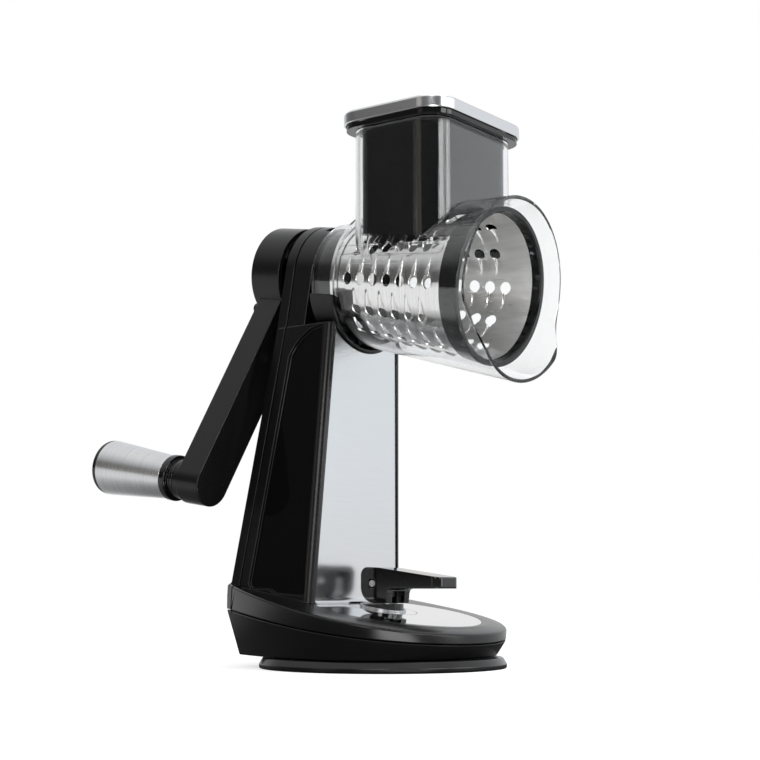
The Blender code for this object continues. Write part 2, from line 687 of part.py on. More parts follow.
def ring_block(name, back, front, inner, outer, first, last, turned_by=0.0, steps=8, look="black_plastic"):
    """A block bent round the drum axis between two angles, measured from the top towards -Y."""
    angles = [first + (last - first) * step / steps for step in range(steps + 1)]
    ring = [(inner, angle) for angle in angles] + [(outer, angle) for angle in reversed(angles)]
    sections = [[(station, -radius * math.sin(angle), radius * math.cos(angle)) for radius, angle in ring]
                for station in (back, front)]
    return loft(name, sections, look, AXIS_FRAME @ Matrix.Rotation(turned_by, 4, "X"))


def facing_rows():
    """Rows of the bent sheet from the tower's top to the front: point, normal and half width."""
    lean, slope = math.atan(FACE_SLOPE), math.atan(TOP_SLOPE)
    up = Vector((math.sin(lean), math.cos(lean)))
    out = Vector((math.cos(slope), -math.sin(slope)))
    face_normal = Vector((up.y, -up.x))
    plate_normal = Vector((-out.y, out.x))
    meet_z = (TOP_HEIGHT - TOP_SLOPE * (FACE_X - FACE_STANDS_BACK)) / (1 + TOP_SLOPE * FACE_SLOPE)
    meet = Vector((face_x(meet_z) - FACE_STANDS_BACK, meet_z))
    turn = math.pi - math.acos(up.dot(out))
    tangent = FOLD_RADIUS * math.tan(turn / 2)
    centre = meet + up * tangent + face_normal * FOLD_RADIUS
    rows = []
    for z in FACING_LEVELS:
        place = meet + up * ((z - meet_z) / up.y)
        rows.append((place, face_normal, face_half(z)))
    for step in range(FOLD_STEPS + 1):
        share = step / FOLD_STEPS
        normal = (face_normal * math.sin(turn * (1 - share)) + plate_normal * math.sin(turn * share)) / math.sin(turn)
        place = centre - normal * FOLD_RADIUS
        rows.append((place, normal, face_half(place.y)))
    for x in plate_stations():
        if x > rows[-1][0].x + 0.001:
            rows.append((Vector((x, TOP_HEIGHT - TOP_SLOPE * x)), plate_normal, plate_half(x)))
    return rows


def make_facing(columns=8):
    """The bent steel sheet: up the tower's front, round the fold and over the base."""
    rows = facing_rows()
    arc = CRADLE_RADIUS + CRADLE_LIP + GAP + 0.0004
    outer, inner = [], []
    for index, (place, normal, half) in enumerate(rows):
        for column in range(columns + 1):
            y = half * (2 * column / columns - 1)
            spot = place
            if index == 0:
                height = axis_z(place.x) - math.sqrt(arc ** 2 - y ** 2) / math.cos(AXIS_TILT)
                spot = Vector((face_x(height) - FACE_STANDS_BACK, height))
            outer.append((spot.x, y, spot.y))
            inner.append((spot.x - normal.x * SHEET, y, spot.y - normal.y * SHEET))
    across, count = columns + 1, len(outer)
    faces = []
    for row in range(len(rows) - 1):
        for column in range(columns):
            a, b = row * across + column, row * across + column + 1
            c, d = b + across, a + across
            faces += [(a, b, c, d), (a + count, d + count, c + count, b + count)]
        for edge in (row * across, row * across + columns):
            faces.append((edge, edge + across, edge + across + count, edge + count))
    for start in (0, (len(rows) - 1) * across):
        faces += [(start + c, start + c + 1, start + c + 1 + count, start + c + count) for c in range(columns)]
    sheet = solid("steel_facing", outer + inner, faces, "brushed_steel")
    return cut(sheet, upright_rod("seat_hole", 0, 0, 0, TOP_HEIGHT + OVER_BASE, SEAT_HOLE_RADIUS, sides=ROUND))


def screw(name, frame, look="zinc"):
    """A pan head screw whose head's outer face is at the frame's origin and whose tip is at +X."""
    profile = [(0, 0), (0, SCREW_HEAD - 0.0005), (0.0005, SCREW_HEAD), (SCREW_HEAD_THICK, SCREW_HEAD),
               (SCREW_HEAD_THICK, SCREW_SHANK), (SCREW_LENGTH - 0.001, SCREW_SHANK), (SCREW_LENGTH, 0)]
    return turned(name, profile, look, frame, 10)


def make_screws():
    """Four screws up through the base and four through the back cover."""
    for index, (x, y) in enumerate(BASE_SCREWS, 1):
        screw(f"base_screw_{index}", Matrix.Translation((x, y, BASE_BOTTOM)) @ UPRIGHT)
    for index, (w, y) in enumerate(COVER_SCREWS, 1):
        screw(f"cover_screw_{index}", AXIS_FRAME @ Matrix.Translation((BACK_STATION, y, w)))


def make_lever_seat():
    """The steel pad that the lever's foot presses on, flush with the facing round its raised middle."""
    top = PIN_HEIGHT - LEVER_DROP - GAP
    seat = upright_rod("lever_seat", 0, 0, SEAT_BED + GAP, top, SEAT_HOLE_RADIUS - GAP, "brushed_steel", ROUND)
    reach = 0.03
    wedge = [(-reach, top + 0.01), (-reach, TOP_HEIGHT + TOP_SLOPE * reach), (reach, TOP_HEIGHT - TOP_SLOPE * reach),
             (reach, top + 0.01)]
    wedge = loft("wedge", [[(x, y, z) for x, z in wedge] for y in (-reach, reach)])
    cut(wedge, turned("boss", [(0, 0), (0, SEAT_RADIUS), (top - 0.0006, SEAT_RADIUS), (top, SEAT_RADIUS - 0.0006),
                               (top + 0.02, SEAT_RADIUS - 0.0006), (top + 0.02, 0)], frame=UPRIGHT))
    return cut(seat, wedge, upright_rod("bore", 0, 0, 0, FAR, STUD_RADIUS + RUNNING_GAP))


def make_stud():
    """The stud that lifts the cup: a foot hooked in the cup's boss, a stem, and an eye for the pin."""
    foot_top = STUD_BOTTOM + STUD_FOOT
    eye_foot = PIN_HEIGHT - LEVER_DROP + STUD_TRAVEL + GAP
    profile = [(STUD_BOTTOM, 0), (STUD_BOTTOM, STUD_FOOT_RADIUS), (foot_top, STUD_FOOT_RADIUS),
               (foot_top, STUD_RADIUS), (eye_foot + 0.001, STUD_RADIUS), (eye_foot + 0.001, 0)]
    stud = turned("cup_stud", profile, "zinc", UPRIGHT, 24)
    half, rise = STUD_HEAD_WIDTH / 2 - 0.0003, STUD_HEAD_WIDTH / 2 - 0.0001
    outline = [(-half, eye_foot), (half, eye_foot)]
    outline += [(rise * math.cos(math.pi * step / 12), PIN_HEIGHT + rise * math.sin(math.pi * step / 12))
                for step in range(13)]
    eye = loft("eye", [[(x, y, z) for x, z in outline] for y in (-STUD_HEAD_WIDTH / 2, STUD_HEAD_WIDTH / 2)])
    return cut(join(stud, eye), pin_rod("bore", PIN_RADIUS + GAP, FAR))


def pin_rod(name, radius, half_length, look="zinc"):
    """A bar along Y through the lever's pivot."""
    frame = Matrix.Translation((0, 0, PIN_HEIGHT)) @ Matrix.Rotation(math.pi / 2, 4, "Z")
    return rod(name, -half_length, half_length, radius, look, frame, bevel=0.0003)


def lever_outline():
    """Side view of the lever about its pin: flat foot, cam, back, top and tapered handle."""
    fall = (LEVER_DROP - LEVER_BACK) / LEVER_TURN
    outline = [(LEVER_LEG_FRONT - 0.0006, -LEVER_DROP)]
    for step in range(9):
        angle = LEVER_TURN * step / 8
        reach = LEVER_DROP - fall * angle
        down, back = (-math.sin(angle), -math.cos(angle)), (-math.cos(angle), math.sin(angle))
        outline.append((down[0] * reach - back[0] * fall, down[1] * reach - back[1] * fall))
    corner = 0.0042
    for step in range(6):
        angle = math.pi / 2 * step / 5
        outline.append((-LEVER_BACK + corner - corner * math.cos(angle), LEVER_TOP - corner + corner * math.sin(angle)))
    low = LEVER_TIP_TOP - LEVER_TIP_THICK
    outline += [(0.004, LEVER_TOP - 0.0003), (LEVER_TIP - 0.0008, LEVER_TIP_TOP), (LEVER_TIP, LEVER_TIP_TOP - 0.0008),
                (LEVER_TIP, low + 0.0006), (LEVER_TIP - 0.0006, low), (LEVER_LEG_FRONT + 0.0022, low),
                (LEVER_LEG_FRONT + 0.0006, low - 0.0007), (LEVER_LEG_FRONT, low - 0.0022)]
    return outline


def make_lever():
    """The forked suction lever: two cheeks with cam feet, bridged by the handle."""
    outline = [(x, z + PIN_HEIGHT) for x, z in lever_outline()]
    lever = loft("suction_lever", [[(x, y, z) for x, z in outline] for y in (-LEVER_HALF_WIDTH, LEVER_HALF_WIDTH)],
                 "gloss_black")
    plan_half = (LEVER_TIP + 0.012) / 2
    plan = [rounded_rectangle(plan_half, LEVER_HALF_WIDTH + 0.0001, 0.0050, z, LEVER_TIP - plan_half) for z in (0, 0.1)]
    combine(lever, loft("plan", plan), "INTERSECT")
    inside = LEVER_HALF_WIDTH - CHEEK
    slot_roof = PIN_HEIGHT + STUD_HEAD_WIDTH / 2 + 0.0006
    cut(lever, box("slot", (-0.03, -inside, 0), (LEVER_LEG_FRONT + 0.0003, inside, slot_roof)))
    return cut(lever, pin_rod("bore", PIN_RADIUS + RUNNING_GAP, FAR))


def make_bushes():
    """Flanged plain bearings in the head's web and in the back cover."""
    seam = BACK_STATION + COVER_DEPTH
    bore = SHAFT_RADIUS + RUNNING_GAP
    front_face = WEB_FRONT_STATION + GAP
    turned("front_bush", [(seam + GAP, bore), (seam + GAP, BUSH_RADIUS), (front_face, BUSH_RADIUS),
                          (front_face, BUSH_FLANGE), (front_face + BUSH_FLANGE_THICK, BUSH_FLANGE),
                          (front_face + BUSH_FLANGE_THICK, bore)], "nylon", AXIS_FRAME, 24)
    turned("rear_bush", [(BACK_STATION, bore), (BACK_STATION, BUSH_FLANGE),
                         (BACK_STATION + BUSH_FLANGE_THICK - GAP, BUSH_FLANGE),
                         (BACK_STATION + BUSH_FLANGE_THICK - GAP, BUSH_RADIUS), (seam - GAP, BUSH_RADIUS),
                         (seam - GAP, bore)], "nylon", AXIS_FRAME, 24)


def hexagon(name, back, front, across, look="zinc"):
    """A hexagonal bar on the drum axis."""
    corner = across / math.sqrt(3)
    ring = [(corner * math.cos(math.pi / 3 * k), corner * math.sin(math.pi / 3 * k)) for k in range(6)]
    return loft(name, [[(station, y, w) for y, w in ring] for station in (back, front)], look, AXIS_FRAME)


def make_shaft():
    """The drive shaft with its hexagonal nose, a retaining ring and the spacer behind the head."""
    seat = HUB_FRONT_STATION - HUB_SOCKET_DEPTH + GAP
    shoulder = WEB_FRONT_STATION + BUSH_FLANGE_THICK + GAP + CLIP_THICK + 0.0030
    shaft = rod("drive_shaft", seat, shoulder, SHAFT_RADIUS, "zinc", AXIS_FRAME, 32, 0.0004)
    join(shaft, hexagon("nose", shoulder - 0.002, HEX_FRONT_STATION, HEX_ACROSS))
    cut(shaft, rod("thread", seat - 0.01, seat + SCREW_LENGTH, SCREW_SHANK + GAP, frame=AXIS_FRAME, sides=12))
    clip = WEB_FRONT_STATION + BUSH_FLANGE_THICK + 2 * GAP
    inner = SHAFT_RADIUS + GAP
    turned("shaft_clip", [(clip, inner), (clip, inner + 0.003), (clip + CLIP_THICK, inner + 0.003),
                          (clip + CLIP_THICK, inner)], "zinc", AXIS_FRAME, 24)
    back, front = HUB_FRONT_STATION + GAP, BACK_STATION - GAP
    turned("shaft_spacer", [(back, inner), (back, inner + 0.0042), (front, inner + 0.0042), (front, inner)],
           "nylon", AXIS_FRAME, 24)


def arm_point(distance, across=0.0):
    """(y, w) of a point along the crank arm, square offset by across."""
    lean_y, lean_w = -math.sin(CRANK_LEAN), -math.cos(CRANK_LEAN)
    return lean_y * distance - lean_w * across, lean_w * distance + lean_y * across


def make_crank():
    """The crank: a hollow hub, the arm with its round end, and the boss that the grip turns against."""
    hub = turned("crank_arm", [
        (HUB_BACK_STATION, 0), (HUB_BACK_STATION, HUB_RADIUS - 0.0012), (HUB_BACK_STATION + 0.0012, HUB_RADIUS),
        (HUB_FRONT_STATION - 0.0006, HUB_RADIUS), (HUB_FRONT_STATION, HUB_RADIUS - 0.0006), (HUB_FRONT_STATION, 0)],
        frame=AXIS_FRAME, sides=FINE)
    outline = [arm_point(0, ARM_HALF_WIDTH)]
    for step in range(13):
        angle = math.pi / 2 - math.pi * step / 12
        outline.append(arm_point(CRANK_RADIUS + ARM_HALF_WIDTH * math.cos(angle), ARM_HALF_WIDTH * math.sin(angle)))
    outline.append(arm_point(0, -ARM_HALF_WIDTH))
    arm = loft("arm", [[(station, y, w) for y, w in outline] for station in (ARM_BACK_STATION, HUB_FRONT_STATION)],
               frame=AXIS_FRAME)
    end_y, end_w = arm_point(CRANK_RADIUS)
    end = AXIS_FRAME @ Matrix.Translation((0, end_y, end_w))
    join(hub, arm)
    hollow = turned("hollow", [
        (HUB_BACK_STATION + HUB_WALL, HUB_BOSS_RADIUS), (HUB_BACK_STATION + HUB_WALL, HUB_RADIUS - HUB_WALL),
        (HUB_FRONT_STATION + 0.01, HUB_RADIUS - HUB_WALL), (HUB_FRONT_STATION + 0.01, HUB_BOSS_RADIUS)],
        frame=AXIS_FRAME, sides=ROUND)
    cut(hub, hollow)
    join(hub, rod("neck", BOSS_BACK_STATION, ARM_BACK_STATION + 0.001, NECK_RADIUS, frame=end, sides=32))
    socket_end = HUB_FRONT_STATION - HUB_SOCKET_DEPTH
    knob_y, knob_w = arm_point(KNOB_RADIUS_ON_ARM)
    return cut(hub, rod("socket", socket_end, 0.0, SHAFT_RADIUS + GAP, frame=AXIS_FRAME, sides=32),
               rod("clearance", -FAR, socket_end + 0.001, SCREW_SHANK + GAP, frame=AXIS_FRAME, sides=12),
               rod("counterbore", -FAR, HUB_BACK_STATION + SCREW_HEAD_THICK + GAP, SCREW_HEAD + GAP, frame=AXIS_FRAME),
               rod("spindle_bore", -FAR, ARM_BACK_STATION + SPINDLE_DEPTH, SPINDLE_RADIUS + GAP, frame=end),
               rod("knob_bore", -FAR, HUB_BACK_STATION + 0.0020, KNOB_SHANK + GAP,
                   frame=AXIS_FRAME @ Matrix.Translation((0, knob_y, knob_w)), sides=12))


def make_crank_fasteners():
    """The screw that holds the hub on the shaft, the round knob beside it and the grip's spindle."""
    screw("hub_screw", AXIS_FRAME @ Matrix.Translation((HUB_BACK_STATION, 0, 0)))
    y, w = arm_point(KNOB_RADIUS_ON_ARM)
    face = HUB_BACK_STATION - GAP
    turned("crank_knob", [(face - KNOB_LENGTH, 0), (face - KNOB_LENGTH, KNOB_RADIUS - 0.001),
                          (face - KNOB_LENGTH + 0.001, KNOB_RADIUS), (face, KNOB_RADIUS), (face, KNOB_SHANK),
                          (face + 0.0020, KNOB_SHANK), (face + 0.0020, 0)],
           "gloss_black", AXIS_FRAME @ Matrix.Translation((0, y, w)), 20)
    y, w = arm_point(CRANK_RADIUS)
    head = SLEEVE_BACK_STATION + 0.0030
    turned("handle_spindle", [
        (head, 0), (head, SPINDLE_HEAD_RADIUS), (head + SPINDLE_HEAD_THICK, SPINDLE_HEAD_RADIUS),
        (head + SPINDLE_HEAD_THICK, SPINDLE_RADIUS), (ARM_BACK_STATION + SPINDLE_DEPTH - GAP, SPINDLE_RADIUS),
        (ARM_BACK_STATION + SPINDLE_DEPTH - GAP, 0)],
        "zinc", AXIS_FRAME @ Matrix.Translation((0, y, w)), 24)


def sleeve_radius(station):
    """Outside radius of the tapered sleeve at a station."""
    along = (station - SLEEVE_FRONT_STATION) / (SLEEVE_BACK_STATION - SLEEVE_FRONT_STATION)
    return SLEEVE_FRONT_RADIUS + (SLEEVE_BACK_RADIUS - SLEEVE_FRONT_RADIUS) * along


def make_grip():
    """The turning grip: a black core with its collar, the tapered metal sleeve and the end cap."""
    y, w = arm_point(CRANK_RADIUS)
    frame = AXIS_FRAME @ Matrix.Translation((0, y, w))
    front, back = SLEEVE_FRONT_STATION, SLEEVE_BACK_STATION
    bore = SPINDLE_RADIUS + RUNNING_GAP
    pocket = SPINDLE_HEAD_RADIUS + RUNNING_GAP
    head = back + 0.0030 + SPINDLE_HEAD_THICK + GAP
    neck = BOSS_BACK_STATION - GAP
    collar = front + GAP

    def under(station):
        return sleeve_radius(station) - SLEEVE_WALL - GAP

    turned("grip_core", [
        (back + GAP, pocket), (back + GAP, under(back)), (collar, under(front)), (collar, GRIP_RING_RADIUS - 0.0005),
        (collar + 0.0005, GRIP_RING_RADIUS), (RING_FRONT_STATION - 0.0006, GRIP_RING_RADIUS),
        (RING_FRONT_STATION, GRIP_RING_RADIUS - 0.0006), (RING_FRONT_STATION, GRIP_NECK_RADIUS),
        (neck, GRIP_NECK_RADIUS), (neck, bore), (head, bore), (head, pocket)], "gloss_black", frame, 36)
    turned("grip_sleeve", [
        (back, sleeve_radius(back) - SLEEVE_WALL), (back, sleeve_radius(back)), (front, sleeve_radius(front)),
        (front, sleeve_radius(front) - SLEEVE_WALL)], "aluminium", frame, ROUND)
    radius = sleeve_radius(back) - 0.0001
    turned("grip_end_cap", [
        (back - END_CAP_THICK, 0), (back - END_CAP_THICK, radius - 0.0012), (back - END_CAP_THICK + 0.0012, radius),
        (back - GAP, radius), (back - GAP, pocket - GAP), (back + 0.0024, pocket - GAP), (back + 0.0024, 0)],
        "gloss_black", frame, ROUND)


def drum_radius(station):
    """Outside radius of the drum's sheet at a station."""
    return DRUM_RADIUS + DRUM_TAPER * station


def make_drum_hub():
    """The drum's rear hub, with the hexagonal socket that the shaft drives."""
    back = NECK_BACK_STATION + 0.0012
    rear = NECK_BACK_STATION + TUBE_WALL + SLIDE_GAP
    edge = DRUM_BACK_STATION - GAP
    skirt = DRUM_BACK_STATION + 0.0042
    rim = 0.0024
    hub = turned("drum_hub", [
        (back, 0), (back, DRIVE_BOSS_RADIUS), (rear, DRIVE_BOSS_RADIUS), (rear, drum_radius(edge) - 0.0024),
        (edge, drum_radius(edge) - 0.0002), (edge, drum_radius(edge) - DRUM_SHEET - GAP),
        (skirt, drum_radius(skirt) - DRUM_SHEET - GAP), (skirt, drum_radius(skirt) - DRUM_SHEET - rim),
        (rear + 0.0030, drum_radius(edge) - 0.0048), (rear + 0.0030, DRIVE_BOSS_RADIUS),
        (HEX_FRONT_STATION + 0.0014, DRIVE_BOSS_RADIUS), (HEX_FRONT_STATION + 0.0014, 0)],
        frame=AXIS_FRAME, sides=ROUND)
    return cut(hub, hexagon("socket", -FAR, HEX_FRONT_STATION + GAP, HEX_ACROSS + 2 * GAP))


def make_drum_ring():
    """The black ring round the drum's mouth, over the edge of the sheet."""
    step = DRUM_SHEET_FRONT + GAP
    return turned("drum_front_ring", [
        (-RING_LENGTH, drum_radius(-RING_LENGTH) + GAP), (-RING_LENGTH, drum_radius(-RING_LENGTH) + 0.0013),
        (-0.0012, RING_RADIUS), (0, RING_RADIUS - 0.0006), (0, RING_BORE + 0.0008), (-0.0008, RING_BORE),
        (step, RING_BORE), (step, drum_radius(step) + GAP)], "gloss_black", AXIS_FRAME, FINE)


def tooth_cell():
    """One tooth about its hole, flat: points of (along, round, height) and the outline's edges.

    The hole is open at the tooth's foot, and its tail is a half cone pressed outwards that rises
    from the tip to the lip over the hole.
    """
    long, high, lip = HOLE_HALF_LENGTH, HOLE_HALF_HEIGHT, LIP_HEIGHT
    hole = [(-long, 0, 0), (-0.62 * long, -0.78 * high, 0.72 * lip), (0, -high, lip), (0.62 * long, -0.78 * high, 0.72 * lip),
            (long, 0, 0), (0.60 * long, 0.86 * high, 0), (-0.60 * long, 0.86 * high, 0)]
    tail = [(0, -TAIL_LENGTH, 0), (-0.72 * long, -0.55 * TAIL_LENGTH, 0), (0.72 * long, -0.55 * TAIL_LENGTH, 0)]
    edges = [(k, (k + 1) % len(hole)) for k in range(len(hole))]
    edges += [(7, 8), (8, 0), (7, 9), (9, 4), (7, 2)]
    return hole, tail, edges


def make_drum_shell():
    """The perforated cone of thin steel, in rows of alternating teeth."""
    half_pitch = TOOTH_PITCH / 2
    columns = [FIRST_TOOTH_STATION - half_pitch + half_pitch * k for k in range(2 * TEETH_LONG_ROW + 1)]
    row_angle = 2 * math.pi / TOOTH_ROWS
    slices = 3
    points, index_of, faces = [], {}, []

    def place(station, angle, height=0.0):
        key = (round(station, 7), round(angle % (2 * math.pi), 6) % round(2 * math.pi, 6), round(height, 6))
        if key not in index_of:
            index_of[key] = len(points)
            points.append((station, angle, height))
        return index_of[key]

    for row in range(TOOTH_ROWS):
        middle = TOOTH_ANGLE + row * row_angle
        short = row % 2
        low = middle - row_angle * TOOTH_LEAD
        marks = [low + row_angle * k / slices for k in range(slices + 1)]
        plain = [(DRUM_BACK_STATION, columns[0]), (columns[-1], DRUM_SHEET_FRONT)]
        if short:
            plain += [(columns[0], columns[1]), (columns[-2], columns[-1])]
        for first, last in plain:
            for k in range(slices):
                faces.append([place(first, marks[k]), place(last, marks[k]),
                              place(last, marks[k + 1]), place(first, marks[k + 1])])
        for tooth in range(TEETH_LONG_ROW - short):
            start = 2 * tooth + short
            stations = columns[start:start + 3]
            edge = [(stations[0], m) for m in marks] + [(stations[1], marks[-1])]
            edge += [(stations[2], m) for m in reversed(marks)] + [(stations[1], marks[0])]
            radius = drum_radius(stations[1])
            hole, tail, links = tooth_cell()
            corners = [(s, a, 0.0) for s, a in edge]
            corners += [(stations[1] + x, middle + c / radius, h) for x, c, h in hole + tail]
            flat = [Vector((s, (a - middle) * radius)) for s, a, _ in corners]
            count = len(edge)
            lines = [(k, (k + 1) % count) for k in range(count)] + [(a + count, b + count) for a, b in links]
            spots, _, triangles, origins, _, _ = geometry.delaunay_2d_cdt(flat, lines, [], 0, 1e-9)
            ids = [place(*corners[origin[0]]) for origin in origins]
            bore = [Vector((x, c)) for x, c, _ in hole]
            for triangle in triangles:
                centre = sum((spots[k] for k in triangle), Vector((0, 0))) / len(triangle)
                if not inside(Vector((centre.x - stations[1], centre.y)), bore):
                    faces.append([ids[k] for k in triangle])
    return drum_solid(points, faces)


def inside(point, polygon):
    """Whether a point lies in a convex polygon."""
    signs = set()
    for k, corner in enumerate(polygon):
        side = polygon[(k + 1) % len(polygon)] - corner
        offset = point - corner
        signs.add(side.x * offset.y - side.y * offset.x > 0)
    return len(signs) == 1


def drum_solid(points, faces):
    """Give the drum's flat pattern its radius and its thickness, and close every edge."""
    count = len(points)
    shell = []
    for depth in (0.0, DRUM_SHEET):
        for station, angle, height in points:
            radius = drum_radius(station) + height - depth
            shell.append((station, -radius * math.sin(angle), radius * math.cos(angle)))
    sides = {}
    for face in faces:
        for k, start in enumerate(face):
            end = face[(k + 1) % len(face)]
            sides[(start, end)] = sides.get((start, end), 0) + 1
    every = [list(face) for face in faces] + [[k + count for k in reversed(face)] for face in faces]
    for start, end in sides:
        if (end, start) not in sides:
            every.append([end, start, start + count, end + count])
    return solid("drum_shell", shell, every, "drum_steel", AXIS_FRAME)


def spout_station(angle, base):
    """Station of the mouth's rim: drawn forward in a smooth lip at the bottom."""
    off = abs(math.atan2(math.sin(angle - math.pi), math.cos(angle - math.pi)))
    share = min(max((SPOUT_HALF_ANGLE + SPOUT_BLEND - off) / (2 * SPOUT_BLEND), 0.0), 1.0)
    return base + SPOUT_REACH * share * share * (3 - 2 * share)


def tube_radius(station):
    """Outside radius of the hopper tube at a station in front of its shoulder."""
    return TUBE_RADIUS + TUBE_TAPER * station


def tube_blank(name, profile, front, front_inset):
    """A closed turned solid whose front edge follows the spout."""
    points, rings = [], []
    for station, radius in profile:
        ring = []
        for step in range(FINE if radius > 0 else 1):
            angle = 2 * math.pi * step / FINE
            ring.append(len(points))
            points.append((station, -radius * math.sin(angle), radius * math.cos(angle)))
        rings.append(ring)
    ring = []
    for step in range(FINE):
        angle = 2 * math.pi * step / FINE
        station = spout_station(angle, front)
        radius = tube_radius(station) - front_inset
        ring.append(len(points))
        points.append((station, -radius * math.sin(angle), radius * math.cos(angle)))
    rings.append(ring)
    rings.append([len(points)])
    points.append((front, 0, 0))
    faces = []
    for first, second in zip(rings, rings[1:]):
        for step in range(FINE):
            follow = (step + 1) % FINE
            corners = [first[step % len(first)], first[follow % len(first)],
                       second[follow % len(second)], second[step % len(second)]]
            corners = list(dict.fromkeys(corners))
            if len(corners) > 2:
                faces.append(corners)
    return solid(name, points, faces, "clear_plastic", AXIS_FRAME)


def make_hopper_tube():
    """The clear tube with its spigot, lugs and pouring lip, and the chute that stands on it."""
    wall = TUBE_WALL
    shoulder, neck = TUBE_SHOULDER_STATION, NECK_BACK_STATION
    spigot_back = HEAD_FRONT_STATION - SPIGOT_LENGTH
    spigot = SOCKET_RADIUS - GAP
    tube = tube_blank("hopper_tube", [
        (spigot_back, 0), (spigot_back, spigot), (neck, spigot), (neck, NECK_BACK_RADIUS),
        (shoulder - 0.0020, NECK_FRONT_RADIUS), (shoulder, tube_radius(shoulder)),
        (shoulder / 2, tube_radius(shoulder / 2))], MOUTH_RIM_STATION, 0.0)
    chute_foot = axis_z(CHUTE_CENTRE_X) + 0.0010
    levels = (chute_foot, CHUTE_TOP)
    join(tube, loft("chute", [rounded_rectangle(CHUTE_HALF_X, CHUTE_HALF_Y, CHUTE_CORNER, z, CHUTE_CENTRE_X)
                              for z in levels]))
    cavity = tube_blank("cavity", [
        (spigot_back - 0.01, 0), (spigot_back - 0.01, spigot - SPIGOT_WALL), (neck + wall, spigot - SPIGOT_WALL),
        (neck + wall, NECK_BACK_RADIUS - wall + 0.0003), (shoulder - 0.0010, NECK_FRONT_RADIUS - wall),
        (shoulder + 0.0010, tube_radius(shoulder) - wall), (shoulder / 2, tube_radius(shoulder / 2) - wall)],
        MOUTH_RIM_STATION + 0.004, wall)
    join(cavity, loft("chute_inside", [
        rounded_rectangle(CHUTE_HALF_X - wall, CHUTE_HALF_Y - wall, CHUTE_CORNER - wall, z, CHUTE_CENTRE_X)
        for z in (chute_foot + 0.004, CHUTE_TOP + 0.01)]))
    cut(tube, cavity)
    half = math.asin(LUG_HALF_WIDTH / HEAD_RADIUS)
    reach = spigot_back + 0.0014 + GAP
    for turned_by in LUG_ANGLES:
        join(tube, ring_block("lug", reach, reach + LUG_LENGTH, SOCKET_RADIUS - 0.0012, HEAD_RADIUS - 0.0005,
                              -half, half, turned_by, 2))
    return tube


def make_pusher():
    """The pusher: an open box with a flange on top and a saddle over the drum, and its steel lid."""
    play = CHUTE_WALL + SLIDE_GAP
    shape = (CHUTE_HALF_X - play, CHUTE_HALF_Y - play, CHUTE_CORNER - play)
    top = LID_BOTTOM - GAP

    def block(name, inset, low, high, look="gloss_black"):
        size = [value - inset for value in shape]
        return loft(name, [rounded_rectangle(*size, z, CHUTE_CENTRE_X) for z in (low, high)], look)

    body = block("pusher_body", 0.0, axis_z(CHUTE_CENTRE_X), top)
    flange = [LID_HALF_X - LID_INSET, LID_HALF_Y - LID_INSET, LID_CORNER - LID_INSET]
    join(body, loft("flange", [rounded_rectangle(*flange, z, CHUTE_CENTRE_X) for z in (CHUTE_TOP + GAP, top)]))
    clear = LIP_HEIGHT + PUSHER_DRUM_GAP
    cut(body, turned("saddle", [(-FAR, 0), (-FAR, clear), (DRUM_BACK_STATION, drum_radius(DRUM_BACK_STATION) + clear),
                                (FAR, drum_radius(FAR) + clear), (FAR, 0)], frame=AXIS_FRAME, sides=FINE))
    roof = axis_z(CHUTE_CENTRE_X - CHUTE_HALF_X) + drum_radius(0) + clear
    cut(body, block("hollow", PUSHER_WALL, roof, top + 0.01))
    lid_levels = [(LID_BOTTOM, 0.0), (LID_TOP - LID_EDGE, 0.0), (LID_TOP - LID_EDGE * 0.3, LID_EDGE * 0.35),
                  (LID_TOP, LID_EDGE)]
    lid = loft("pusher_lid", [rounded_rectangle(LID_HALF_X - i, LID_HALF_Y - i, LID_CORNER - i, z, CHUTE_CENTRE_X)
                              for z, i in lid_levels], "brushed_steel")
    inner = [LID_HALF_X - LID_SHEET, LID_HALF_Y - LID_SHEET, LID_CORNER - LID_SHEET]
    return cut(lid, loft("hollow", [rounded_rectangle(*inner, z, CHUTE_CENTRE_X)
                                    for z in (LID_BOTTOM - 0.01, LID_TOP - LID_EDGE - LID_SHEET)]))


def pivot(name, place, tilt=0.0):
    """An empty on a joint's axis, for the pieces that move about it."""
    empty = bpy.data.objects.new(name, None)
    bpy.context.scene.collection.objects.link(empty)
    empty.location = place
    empty.rotation_euler = (0.0, tilt, 0.0)
    return empty


def hang(parent, *names):
    """Parent pieces to an empty, with their meshes in its frame."""
    frame = Matrix.Translation(parent.location) @ parent.rotation_euler.to_matrix().to_4x4()
    for name in names:
        piece = bpy.data.objects[name]
        piece.data.transform(frame.inverted())
        piece.parent = parent


def hang_moving_pieces():
    """Put every moving piece under an empty on its own joint axis."""
    mouth = (MOUTH_X, 0.0, MOUTH_Z)
    hang(pivot("crank_axis", mouth, AXIS_TILT), "crank_arm", "drive_shaft", "shaft_clip", "shaft_spacer", "hub_screw",
         "crank_knob", "handle_spindle")
    y, w = arm_point(CRANK_RADIUS)
    hang(pivot("grip_axis", AXIS_FRAME @ Vector((SLEEVE_FRONT_STATION, y, w)), AXIS_TILT),
         "grip_core", "grip_sleeve", "grip_end_cap")
    hang(pivot("drum_axis", mouth, AXIS_TILT), "drum_shell", "drum_front_ring", "drum_hub")
    hang(pivot("bayonet_axis", mouth, AXIS_TILT), "hopper_tube")
    hang(pivot("pusher_guide", (CHUTE_CENTRE_X, 0.0, CHUTE_TOP)), "pusher_body", "pusher_lid")
    hang(pivot("stud_guide", (0.0, 0.0, STUD_BOTTOM)), "cup_stud", "lever_pin")
    hang(pivot("lever_axis", (0.0, 0.0, PIN_HEIGHT)), "suction_lever")


